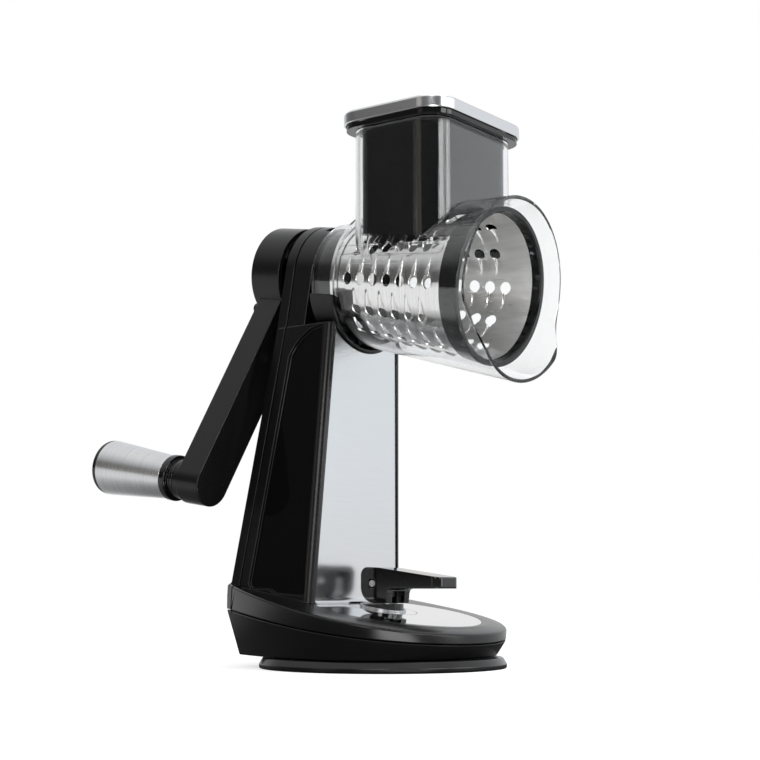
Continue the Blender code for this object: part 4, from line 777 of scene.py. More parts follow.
@dataclass(frozen=True)
class Housing:
    """The tower, head and base: upper shell, back cover and lower shell."""

    floor: Level = Level(0.0570, 0.0635, 0.0063, 0.0)
    seam: Level = Level(0.0620, 0.0685, 0.0213, 0.128)
    rim: Level = Level(0.0618, 0.0700, 0.0305, 0.190)
    top: Level = Level(0.0545, 0.0590, 0.0312, 0.168)
    widest_x: float = 0.004
    base_back: tuple[float, float] = (-0.075, 0.0415)
    power: float = 2.15
    back_station: float = -0.1250
    head_front: float = -0.1060
    head_radius: float = 0.0284
    cover_depth: float = 0.0065
    crease: float = 0.1830
    foot: float = 0.0310
    tower_top: float = 0.1848
    corner: float = 0.0046
    recess_depth: float = 0.0020
    cradle_radius: float = 0.0384
    cradle_lip: float = 0.0020
    cradle_front: float = -0.0825
    socket_radius: float = 0.0252
    web_front: float = -0.1135
    bush_radius: float = 0.0085
    flange: tuple[float, float] = (0.0110, 0.0012)
    screw_head: tuple[float, float] = (0.0029, 0.0018)
    base_screws: tuple = ((0.038, 0.036), (0.038, -0.036), (-0.048, 0.040), (-0.048, -0.040))
    cover_screws: tuple = ((-0.050, 0.0225), (-0.050, -0.0225), (-0.165, 0.0310), (-0.165, -0.0310))
    rim_inset: float = 0.0010
    top_inset: float = 0.0040
    stud_bore: float = 0.0044
    cup_bore: float = 0.0118
    seat_radius: float = 0.0187
    seat_bed: tuple[float, float] = (0.0262, 0.0345)

    @property
    def plate_frame(self) -> Matrix:
        """Stations square to the sloping top along local X, zero on it over the cup's middle."""
        slope = Matrix.Rotation(math.atan(self.top.slope), 4, "Y")
        return Matrix.Translation((0, 0, self.top.height)) @ slope @ UPRIGHT

    def outline(self, level: Level, inset: float = 0.0, draw_in: float = 0.0, steps: int = 40) -> Ring:
        """One outline of the base: a flared back half and a rounded front half.

        Args:
            level: the level it lies on.
            inset: how far it draws in all round.
            draw_in: how far only its back draws in.
            steps: chords of a front quarter.

        Returns:
            The outline's points.
        """
        front, half_width = level.front - inset, level.half_width - inset
        back, back_half = self.base_back[0] + inset + draw_in, self.base_back[1] - inset - draw_in
        half = []
        for step in range(14):
            along = 1 - step / 14
            half.append((self.widest_x + (back - self.widest_x) * along,
                         half_width - (half_width - back_half) * along ** 1.6))
        for step in range(steps):
            angle = math.pi / 2 * (1 - step / steps)
            half.append((self.widest_x + (front - self.widest_x) * math.cos(angle) ** (2 / self.power),
                         half_width * math.sin(angle) ** (2 / self.power)))
        mirror = [(x, -y) for x, y in reversed(half)]
        return [(x, y, level.height - level.slope * x) for x, y in [*half, (front, 0.0), *mirror]]

    @staticmethod
    def face_x(z: float) -> float:
        """World x of the tower's front plane at a height."""
        return -0.0185 + 0.0434 * z

    def back_x(self, z: float) -> float:
        """World x of the tower's back plane at a height."""
        tilt = AXIS.tilt
        return AXIS.mouth_x + (self.back_station + (z - AXIS.mouth_z) * math.sin(tilt)) / math.cos(tilt)

    def tower_half(self, x: float, z: float) -> float:
        """Half width of the tower, flared towards its foot and its front."""
        rise = (z - self.foot) / (self.crease - self.foot)
        back, front = 0.0404 - 0.0113 * rise, 0.0416 - 0.0089 * rise
        return back + (front - back) * (x - self.back_x(z)) / (self.face_x(z) - self.back_x(z))

    def tower_section(self, z: float) -> Ring:
        """One level of the tower, with round bars at its front corners."""
        back, front = self.back_x(z) - 0.003, self.face_x(z)
        half = [(back, self.tower_half(back, z))]
        middle = (front - self.corner, self.tower_half(front, z) - self.corner)
        for step in range(13):
            angle = math.pi / 2 * (1 - step / 12)
            half.append((middle[0] + self.corner * math.cos(angle),
                         middle[1] + self.corner * math.sin(angle)))
        return [(x, y, z) for x, y in half + [(x, -y) for x, y in reversed(half)]]

    def half_space(self, station: float, ahead: bool) -> bpy.types.Object:
        """A block that fills everything ahead of a station, or behind it."""
        low, high = (station, station + 0.3) if ahead else (station - 0.3, station)
        return block("half_space", (low, -0.3, -0.3), (high, 0.3, 0.3), AXIS.frame)

    def blank(self) -> bpy.types.Object:
        """The outside of the tower, head, cradle and upper base as one solid."""
        raised = Level(self.seam.front, self.seam.half_width, self.seam.height + GAP, self.seam.slope)
        under = Level(self.rim.front, self.rim.half_width, self.rim.height - 0.0008, self.rim.slope)
        outlines = [self.outline(raised), self.outline(under), self.outline(self.rim, self.rim_inset),
                    self.outline(self.top, draw_in=self.top_inset)]
        blank = loft("upper_shell_skin", outlines)
        levels = (0.0313, 0.051, 0.080, 0.110, 0.150, self.crease, self.tower_top)
        tower = loft("tower", [self.tower_section(z) for z in levels])
        side = [(self.head_radius * math.cos(math.pi * k / 72), self.head_radius * math.sin(math.pi * k / 72))
                for k in range(73)]
        side += [(-0.0291, -0.040), (0.0291, -0.040)]
        stations = (self.back_station - 0.0020, self.head_front)
        head = loft("head", [[(station, y, w) for y, w in side] for station in stations], AXIS.frame)
        lip_out = self.cradle_radius + self.cradle_lip
        lip = turned("lip", [(self.cradle_front, self.cradle_radius - 0.004), (self.cradle_front, lip_out),
                             (-0.098, lip_out), (-0.098, self.cradle_radius - 0.004)], AXIS.frame, 160)
        cut(lip, block("upper_half", (-0.3, -0.3, -0.0135), (0.3, 0.3, 0.3), AXIS.frame))
        join(blank, tower, lip)
        cut(blank, rod("cradle", self.head_front, 0.05, self.cradle_radius, AXIS.frame, 160))
        join(blank, head)
        return cut(blank, self.half_space(self.back_station, False))

    def recess(self, side: int) -> bpy.types.Object:
        """The shallow panel sunk into one flank."""
        outline = rounded([(-0.0165, 0.1840, 0.001), (-0.0262, 0.1818, 0.004), (-0.0330, 0.1776, 0.004),
                           (-0.0372, 0.1734, 0.004), (-0.0408, 0.1686, 0.004), (-0.0612, 0.0440, 0.002),
                           (-0.0590, 0.0418, 0.002), (-0.0466, 0.0414, 0.002), (-0.0420, 0.0392, 0.002),
                           (-0.0225, 0.0380, 0.002), (-0.0218, 0.0400, 0.001)])
        return loft("recess", [[(x, side * (self.tower_half(x, z) + out), z) for x, z in outline]
                               for out in (-self.recess_depth, 0.010)])

    def slot(self, entry: bool, turned_by: float) -> bpy.types.Object:
        """One run of the head's L shaped bayonet slot."""
        half = math.asin(0.0035 / self.head_radius)
        turn = math.radians(24)
        first, last = (turn - half, turn + half) if entry else (-half, turn + half)
        reach = self.head_front - 0.0056
        front = self.head_front + 0.010 if entry else reach + 0.0036
        angles = [first + (last - first) * step / 16 for step in range(17)]
        ring = [(self.socket_radius - 0.004, a) for a in angles]
        ring += [(self.head_radius + 0.004, a) for a in angles[::-1]]
        sections = [[(x, -r * math.sin(a), r * math.cos(a)) for r, a in ring] for x in (reach, front)]
        return loft("slot", sections, AXIS.frame @ Matrix.Rotation(turned_by, 4, "X"))

    def screw_places(self) -> list[Matrix]:
        """Where each screw's head lies, with the screw along local X."""
        places = [Matrix.Translation((x, y, self.floor.height)) @ UPRIGHT for x, y in self.base_screws]
        return places + [AXIS.frame @ Matrix.Translation((self.back_station, y, w))
                         for w, y in self.cover_screws]

    def head_beds(self, places: Sequence[Matrix]) -> list[bpy.types.Object]:
        """Tools that sink each screw's head."""
        radius, depth = self.screw_head
        return [rod("head_bed", -0.01, depth + GAP, radius + GAP, place) for place in places]

    def bearing_bore(self) -> bpy.types.Object:
        """A tool that bores the head for the bushes."""
        return rod("bearing_bore", -0.3, 0.0, self.bush_radius + GAP, AXIS.frame)

    def build(self, pocket: bpy.types.Object) -> None:
        """Make the three mouldings.

        Args:
            pocket: the seat of the steel facing, cut out of the upper shell.
        """
        blank = cut(self.blank(), self.recess(1), self.recess(-1),
                    rod("socket", self.web_front, 0.0, self.socket_radius, AXIS.frame, 128))
        seam = self.back_station + self.cover_depth
        cover = edged(cut(twin(blank, "back_cover_skin"), self.half_space(seam - GAP, True)), 0.00045)
        edged(cut(blank, self.half_space(seam + GAP, False)), 0.00055)
        cut(blank, pocket, self.bearing_bore(),
            *[self.slot(entry, turned_by) for turned_by in (0.0, math.pi) for entry in (True, False)],
            rod("stud_bore", 0.0, 0.0387, self.stud_bore, UPRIGHT),
            rod("seat_bed", *self.seat_bed, self.seat_radius, UPRIGHT, 128))
        flange_radius, flange_thick = self.flange
        cut(cover, self.bearing_bore(),
            rod("flange_seat", -0.3, self.back_station + flange_thick, flange_radius + GAP, AXIS.frame, 96),
            *self.head_beds(self.screw_places()[4:]))
        finish = TowerPlastic(BLACK.slot, BLACK.colour, BLACK.roughness, housing=self)
        dressed(blank, finish, Body.STAND, "upper_shell")
        dressed(cover, BLACK, Body.STAND, "back_cover")
        rim = Level(self.seam.front, self.seam.half_width, self.seam.height - GAP, self.seam.slope)
        lower = loft("base_lower_shell_skin", [self.outline(self.floor, draw_in=0.005), self.outline(rim)])
        edged(lower, 0.0006)
        cut(lower, rod("bore", -0.01, 0.05, self.cup_bore, UPRIGHT, 96),
            *self.head_beds(self.screw_places()[:4]))
        dressed(lower, BLACK, Body.STAND, "base_lower_shell")


@dataclass(frozen=True)
class TowerPlastic(MouldedPlastic):
    """The tower's moulding, grained but for the polished panels sunk into its flanks."""

    housing: Housing = Housing()

    def polish(self, graph: Graph) -> Wire:
        """1 on the sunk panels, found by how deep they lie under the flank."""
        x, y, z = graph.xyz(graph.coordinates())
        x, y = x - HOME.translation.x, y - HOME.translation.y
        depth = self.housing.tower_half(x, z) - y.math("ABSOLUTE")
        sunk = ((depth - self.housing.recess_depth * 0.55) / 0.0005).held() * (depth < 0.005)
        between = (x > self.housing.back_x(z) + 0.004) * (x < self.housing.face_x(z) - 0.0062)
        return sunk * between * (z > 0.036) * (z < 0.186)


@dataclass(frozen=True)
class Facing:
    """The bent steel sheet up the tower's front, round the fold and over the base."""

    housing: Housing
    sheet: float = 0.0006
    fold_radius: float = 0.0034
    plate_front: float = 0.0525
    plate_half_width: float = 0.0505
    widest_x: float = 0.011
    power: float = 1.9
    back_x: float = -0.0185
    stands_back: float = 0.0008
    heights: tuple[float, ...] = (0.180, 0.160, 0.140, 0.115, 0.090, 0.065, 0.050)

    def face_half(self, z: float) -> float:
        """Half width on the tower at a height."""
        return 0.0392 - 0.0629 * z

    def plate_half(self, x: float) -> float:
        """Half width over the base."""
        if x >= self.widest_x:
            along = min((x - self.widest_x) / (self.plate_front - self.widest_x), 1.0)
            return self.plate_half_width * (1 - along ** self.power) ** (1 / self.power)
        along = min((self.widest_x - x) / (self.widest_x - self.back_x), 1.0)
        waist = self.plate_half_width - self.face_half(self.housing.top.height)
        return self.plate_half_width - waist * along ** 2

    def stations(self, steps: int) -> list[float]:
        """Rows over the base, closer together towards its round front."""
        back = self.back_x + self.fold_radius
        reach = self.plate_front - 0.0002 - back
        return [back + reach * math.sin(math.pi / 2 * k / steps) for k in range(steps + 1)]

    def pocket(self) -> bpy.types.Object:
        """The shallow seat that the corner bars stand proud of, just wider than the bent sheet."""
        rows = self.rows()
        place, normal, half = rows[0]
        up = (rows[0][0] - rows[1][0]).normalized()
        rows.insert(0, (place + up * 0.014, normal, half))
        sections = []
        for place, normal, half in rows:
            inside, outside = place - normal * (self.sheet + GAP), place + normal * 0.0055
            wide = half + GAP
            sections.append([(inside.x, wide, inside.y), (outside.x, wide, outside.y),
                             (outside.x, -wide, outside.y), (inside.x, -wide, inside.y)])
        pocket = loft("pocket", sections)
        keep = self.housing.cradle_radius + self.housing.cradle_lip
        return cut(pocket, rod("lip_keeper", -0.1, self.housing.cradle_front + 0.01, keep, AXIS.frame, 160))

    def rows(self) -> list[tuple[Vector, Vector, float]]:
        """The bent sheet's rows from the top down: a point, its normal and the half width."""
        top, face_x = self.housing.top, self.housing.face_x
        lean, slope = math.atan(0.0434), math.atan(top.slope)
        up, out = Vector((math.sin(lean), math.cos(lean))), Vector((math.cos(slope), -math.sin(slope)))
        face_normal, plate_normal = Vector((up.y, -up.x)), Vector((-out.y, out.x))
        meet_z = (top.height - top.slope * (self.back_x - self.stands_back)) / (1 + top.slope * 0.0434)
        meet = Vector((face_x(meet_z) - self.stands_back, meet_z))
        turn = math.pi - math.acos(up.dot(out))
        reach = self.fold_radius * math.tan(turn / 2)
        centre = meet + up * reach + face_normal * self.fold_radius
        rows = [(meet + up * ((z - meet_z) / up.y), face_normal, self.face_half(z))
                for z in self.heights]
        for step in range(25):
            share = step / 24
            normal = face_normal * math.sin(turn * (1 - share)) + plate_normal * math.sin(turn * share)
            normal /= math.sin(turn)
            place = centre - normal * self.fold_radius
            rows.append((place, normal, self.face_half(place.y)))
        rows += [(Vector((x, top.height - top.slope * x)), plate_normal, self.plate_half(x))
                 for x in self.stations(44) if x > rows[-1][0].x + 0.0004]
        return rows

    def build(self, columns: int = 40) -> None:
        """Make the sheet."""
        rows = self.rows()
        arc = self.housing.cradle_radius + self.housing.cradle_lip + GAP + 0.0004
        outer: Ring = []
        inner: Ring = []
        for index, (place, normal, half) in enumerate(rows):
            for column in range(columns + 1):
                y = half * (2 * column / columns - 1)
                spot = place
                if index == 0:
                    height = AXIS.height(place.x) - math.sqrt(arc ** 2 - y ** 2) / math.cos(AXIS.tilt)
                    spot = Vector((self.housing.face_x(height) - self.stands_back, height))
                outer.append((spot.x, y, spot.y))
                inner.append((spot.x - normal.x * self.sheet, y, spot.y - normal.y * self.sheet))
        across, count = columns + 1, len(outer)
        faces: list[tuple[int, ...]] = []
        for row in range(len(rows) - 1):
            for column in range(columns):
                a = row * across + column
                faces += [(a, a + 1, a + 1 + across, a + across),
                          (a + count, a + across + count, a + 1 + across + count, a + 1 + count)]
            faces += [(e, e + across, e + across + count, e + count)
                      for e in (row * across, row * across + columns)]
        for start in (0, (len(rows) - 1) * across):
            faces += [(c, c + 1, c + 1 + count, c + count) for c in range(start, start + columns)]
        sheet = solid("steel_facing_sheet", outer + inner, faces)
        cut(sheet, rod("seat_hole", -0.003, 0.0008, self.housing.seat_radius, self.housing.plate_frame, 128))
        dressed(sheet, FACING_STEEL, Body.STAND, "steel_facing")


@dataclass(frozen=True)
class Suction:
    """The rubber cup, the lever that pulls it up and what joins them."""

    housing: Housing
    cup_radius: float = 0.0662
    pin_height: float = 0.0445
    half_width: float = 0.0103
    tip: float = 0.0430
    drop: float = 0.0105
    back: float = 0.0073
    leg_front: float = 0.0105
    top: float = 0.0088
    tip_top: float = 0.0033
    tip_thick: float = 0.0060
    slot_half: float = 0.0056
    washer_radius: float = 0.0126
    bore_radius: float = 0.0115
    boss_radius: float = 0.0112

    def lever_outline(self) -> list[tuple[float, float]]:
        """Side view of the lever about its pin: flat foot, cam, back, top and tapered handle."""
        turn = math.pi / 2
        fall = (self.drop - self.back) / turn
        outline = [(self.leg_front - 0.0006, -self.drop)]
        for step in range(25):
            angle = turn * step / 24
            reach = self.drop - fall * angle
            outline.append((-math.sin(angle) * reach + math.cos(angle) * fall,
                            -math.cos(angle) * reach - math.sin(angle) * fall))
        corner = 0.0042
        outline += [(-self.back + corner - corner * math.cos(turn * k / 12),
                     self.top - corner + corner * math.sin(turn * k / 12)) for k in range(13)]
        low = self.tip_top - self.tip_thick
        return outline + [(0.004, self.top - 0.0003), (self.tip - 0.0008, self.tip_top),
                          (self.tip, self.tip_top - 0.0008), (self.tip, low + 0.0006),
                          (self.tip - 0.0006, low), (self.leg_front + 0.0022, low),
                          (self.leg_front + 0.0006, low - 0.0007), (self.leg_front, low - 0.0022)]

    def pin(self, name: str, radius: float) -> bpy.types.Object:
        """A bar along Y through the lever's pivot."""
        place = Matrix.Translation((0, 0, self.pin_height)) @ Matrix.Rotation(math.pi / 2, 4, "Z")
        return rod(name, -0.05, 0.05, radius, place, 48)

    def seat(self) -> None:
        """Make the lever's seat: a plate flush with the facing, a washer and a black boss."""
        radius, place = self.housing.seat_radius - GAP, self.housing.plate_frame
        plate = [(-0.0008, 0.0), (-0.0008, radius), (0.0, radius), (0.0, 0.0)]
        washer = rounded([(-0.0005, 0.0, 0), (-0.0005, self.washer_radius, 0),
                          (0.0011, self.washer_radius, 0.0004), (0.0011, 0.0, 0)])
        for name, profile, sides, finish, nodes in (
                ("lever_seat_plate", plate, 160, FACING_STEEL, ["lever_seat"]),
                ("lever_seat_washer", washer, 128, ZINC, [])):
            item = turned(name, profile, place, sides)
            cut(item, rod("boss_bore", 0.0, 0.05, self.bore_radius, UPRIGHT))
            dressed(item, finish, Body.STAND, *nodes)
        foot = self.pin_height - self.drop - GAP
        boss = rounded([(0.0285, 0.0040, 0), (0.0285, self.boss_radius, 0), (foot, self.boss_radius, 0.0005),
                        (foot, 0.0040, 0)])
        dressed(turned("lever_seat_boss", boss, UPRIGHT, 128), GLOSS, Body.STAND)

    def build(self) -> None:
        """Make the cup, the lever, the seat, the stud and the pin."""
        r = self.cup_radius
        profile = rounded([(0.0014, 0.0, 0), (0.0014, 0.043, 0.001), (0.0, 0.046, 0.001), (0.0, r, 0.0009),
                           (0.0024, r, 0.0009), (0.0058, 0.0642, 0.0014), (0.0058, 0.011, 0.0008),
                           (0.0175, 0.011, 0.0006), (0.0175, 0.0, 0)])
        dressed(turned("suction_cup_skin", profile, UPRIGHT, 192), CUP_RUBBER, Body.STAND, "suction_cup")
        outline = [(x, z + self.pin_height) for x, z in self.lever_outline()]
        sides = (-self.half_width, self.half_width)
        lever = loft("suction_lever_skin", [[(x, y, z) for x, z in outline] for y in sides])
        half = (self.tip + 0.012) / 2
        plan = [rounded_rectangle(half, self.half_width + 0.0001, 0.0050, z, self.tip - half)
                for z in (0.0, 0.1)]
        combine(lever, [loft("plan", plan)], "INTERSECT")
        slot = block("slot", (-0.03, -self.slot_half, 0.0),
                     (self.leg_front + GAP, self.slot_half, self.pin_height + 0.0054))
        cut(lever, slot, self.pin("bore", 0.0023))
        dressed(softened(lever, 0.00030, 3, 0.5), GLOSS, Body.LEVER, "suction_lever")
        self.seat()
        refined("cup_stud", ZINC, Body.STUD)
        refined("lever_pin", ZINC, Body.STUD, 0.0004)


@dataclass(frozen=True)
class Crank:
    """The crank: its hub, its arm and the turning grip."""

    radius: float = 0.1355
    lean: float = math.radians(25.2)
    half_width: float = 0.0125
    back_station: float = -0.1474
    hub: tuple[float, float, float] = (-0.1516, -0.1311, 0.02706)
    boss_back: float = -0.1517
    neck_radius: float = 0.0112
    sleeve: tuple[float, float] = (-0.2075, -0.1610)
    sleeve_wall: float = 0.0012
    wall: float = 0.0032
    core_radius: float = 0.0095

    def point(self, distance: float, across: float = 0.0) -> tuple[float, float]:
        """(y, up) of a point along the arm, offset square to it."""
        lean_y, lean_w = -math.sin(self.lean), -math.cos(self.lean)
        return lean_y * distance - lean_w * across, lean_w * distance + lean_y * across

    def sleeve_radius(self, station: float) -> float:
        """Outside radius of the tapered sleeve."""
        back, front = self.sleeve
        return 0.0119 + 0.0035 * (station - front) / (back - front)

    def arm(self) -> None:
        """Make the arm with its hollow hub and the boss that the grip turns against."""
        back, front, radius = self.hub
        item = rod("crank_arm_skin", back, front, radius, AXIS.frame, 160)
        outline = [self.point(0, self.half_width)]
        outline += [self.point(self.radius + self.half_width * math.cos(a), self.half_width * math.sin(a))
                    for a in (math.pi / 2 - math.pi * step / 40 for step in range(41))]
        outline.append(self.point(0, -self.half_width))
        stations = (self.back_station, front - 0.00005)
        join(item, loft("arm", [[(s, y, w) for y, w in outline] for s in stations], AXIS.frame))
        deep, wide = back + self.wall, radius - self.wall
        cut(item, turned("hollow", [(deep, self.core_radius), (deep, wide), (front + 0.01, wide),
                                    (front + 0.01, self.core_radius)], AXIS.frame))
        end_y, end_w = self.point(self.radius)
        end = AXIS.frame @ Matrix.Translation((0, end_y, end_w))
        join(item, rod("neck", self.boss_back, self.back_station + 0.001, self.neck_radius, end, 96))
        cut(item, rod("bore", front - 0.015, 0.0, 0.0053, AXIS.frame),
            rod("counterbore", -0.3, back + 0.0021, 0.0032, AXIS.frame),
            rod("spindle_bore", -0.3, self.back_station + 0.011, 0.0035, end))
        dressed(edged(item, 0.0006), BLACK, Body.CRANK, "crank_arm")

    def grip(self) -> None:
        """Make the grip's black core and collar, its tapered sleeve and its end cap."""
        y, w = self.point(self.radius)
        place = AXIS.frame @ Matrix.Translation((0, y, w))
        back, front = self.sleeve
        neck = self.boss_back - GAP
        collar = [(back + GAP, 0.0059, 0), (back + GAP, self.sleeve_radius(back) - 0.0015, 0),
                  (front + GAP, self.sleeve_radius(front) - 0.0015, 0), (front + GAP, 0.0127, 0.0008),
                  (-0.1562, 0.0127, 0.0010), (-0.1562, 0.0108, 0.0003), (-0.1541, 0.0108, 0.0002),
                  (-0.1541, 0.0103, 0.0002), (-0.1537, 0.0103, 0.0002), (-0.1537, 0.0108, 0.0002),
                  (neck, 0.0108, 0.0004), (neck, 0.0036, 0), (back + 0.0053, 0.0036, 0),
                  (back + 0.0053, 0.0059, 0)]
        dressed(turned("grip_core_skin", rounded(collar), place, 128), GLOSS, Body.GRIP, "grip_core")
        outer, inner, wall = self.sleeve_radius(back), self.sleeve_radius(front), self.sleeve_wall
        sleeve = [(back, outer - wall, 0), (back, outer, 0.0004), (front, inner, 0.0004),
                  (front, inner - wall, 0)]
        dressed(turned("grip_sleeve_skin", rounded(sleeve), place, 128), ALUMINIUM, Body.GRIP, "grip_sleeve")
        radius = outer - 0.0001
        cap = [(back - 0.0028, 0.0, 0), (back - 0.0028, radius, 0.0014), (back - GAP, radius, 0.0002),
               (back - GAP, 0.0056, 0), (back + 0.0024, 0.0056, 0), (back + 0.0024, 0.0, 0)]
        dressed(turned("grip_end_cap_skin", rounded(cap), place, 128), GLOSS, Body.GRIP, "grip_end_cap")

    def build(self) -> None:
        """Make everything that turns with the handle."""
        self.arm()
        self.grip()
        refined("crank_knob", GLOSS, Body.CRANK, 0.0003)
        refined("handle_spindle", ZINC, Body.CRANK)
        for node in ("drive_shaft", "shaft_clip"):
            refined(node, ZINC, Body.CRANK)
        refined("shaft_spacer", NYLON, Body.CRANK)
        for node in ("front_bush", "rear_bush"):
            refined(node, NYLON, Body.STAND)


class Pattern:
    """A Geometry Nodes tree with named inputs that repeats a piece and becomes a plain mesh."""

    def __init__(self, name: str) -> None:
        """Start an empty tree."""
        self.tree = bpy.data.node_groups.new(name, "GeometryNodeTree")
        self.graph = Graph(self.tree)
        self.values: dict[str, object] = {}
        self.tree.interface.new_socket(name="Geometry", in_out="INPUT", socket_type="NodeSocketGeometry")
        self.tree.interface.new_socket(name="Geometry", in_out="OUTPUT", socket_type="NodeSocketGeometry")
        self.entry = self.tree.nodes.new("NodeGroupInput")

    def value(self, name: str, kind: str, value: object) -> Wire:
        """Add a named input, set on the modifier by its identifier."""
        made = self.tree.interface.new_socket(name=name, in_out="INPUT", socket_type=kind)
        self.values[made.identifier] = value
        socket = next(s for s in self.entry.outputs if s.identifier == made.identifier)
        return Wire(self.tree, socket)

    def named(self, name: str, kind: str = "FLOAT") -> Wire:
        """Read a named attribute."""
        node = self.graph.add("GeometryNodeInputNamedAttribute", {"data_type": kind}, Name=name)
        return self.graph.wire(node)

    def store(self, geometry: Wire, name: str, value: Wire) -> Wire:
        """Write a number to each point."""
        node = self.graph.add("GeometryNodeStoreNamedAttribute", {"data_type": "FLOAT", "domain": "POINT"},
                              Geometry=geometry, Name=name, Value=value)
        return self.graph.wire(node)

    def piece(self, source: Wire) -> Wire:
        """The geometry of an object input."""
        return self.graph.wire(self.graph.add("GeometryNodeObjectInfo", Object=source), "Geometry")

    def end(self, geometry: Wire, finish: Finish) -> None:
        """Finish the tree: realize the copies and give them their material."""
        real = self.graph.wire(self.graph.add("GeometryNodeRealizeInstances", Geometry=geometry))
        look = self.value("Material", "NodeSocketMaterial", finish.material())
        done = self.graph.add("GeometryNodeSetMaterial", Geometry=real, Material=look)
        exit_node = self.tree.nodes.new("NodeGroupOutput")
        self.tree.links.new(done.outputs[0], exit_node.inputs[0])

    def run(self, holder: bpy.types.Object) -> bpy.types.Object:
        """Apply the tree to an object and leave a plain mesh there."""
        modifier = holder.modifiers.new("pattern", "NODES")
        modifier.node_group = self.tree
        for identifier, value in self.values.items():
            modifier[identifier] = value
        evaluated(holder)
        return holder


@dataclass(frozen=True)
class Screws:
    """Pan head screws with a cross recess, one tool for all of them."""

    head: float = 0.0029
    thick: float = 0.0018
    shank: float = 0.0015
    length: float = 0.0130
    recess: tuple[float, float] = (0.0015, 0.0003)

    def tool(self) -> bpy.types.Object:
        """One screw along local X, its head's outer face at the origin."""
        profile = rounded([(0.0, 0.0, 0), (0.0, self.head, 0.0008), (self.thick, self.head, 0.0002),
                           (self.thick, self.shank, 0), (self.length - 0.001, self.shank, 0),
                           (self.length, 0.0, 0)])
        screw = turned("screw_tool", profile, None, 48)
        half, thin = self.recess
        cut(screw, *[block("arm", (-0.001, -a, -b), (0.0009, a, b)) for a, b in ((half, thin), (thin, half))])
        screw.hide_render = True
        return screw

    def place(self, name: str, places: Sequence[Matrix], body: Body, nodes: Sequence[str]) -> None:
        """Put a screw at each place by Geometry Nodes."""
        mesh = bpy.data.meshes.new(name)
        mesh.from_pydata([tuple(place.translation) for place in places], [], [])
        facing = mesh.attributes.new("facing", "FLOAT_VECTOR", "POINT")
        for index, place in enumerate(places):
            facing.data[index].vector = place.to_euler()
        holder = placed(name, mesh)
        tool = self.tool()
        pattern = Pattern(f"{name}_pattern")
        source = pattern.value("Screw", "NodeSocketObject", tool)
        turn = pattern.graph.add("FunctionNodeEulerToRotation", Euler=pattern.named("facing", "FLOAT_VECTOR"))
        entry = Wire(pattern.tree, pattern.entry.outputs[0])
        copies = pattern.graph.add("GeometryNodeInstanceOnPoints", Points=entry,
                                   Instance=pattern.piece(source), Rotation=pattern.graph.wire(turn))
        pattern.end(pattern.graph.wire(copies), ZINC)
        pattern.run(holder)
        bpy.data.objects.remove(tool, do_unlink=True)
        dressed(holder, ZINC, body, *nodes)


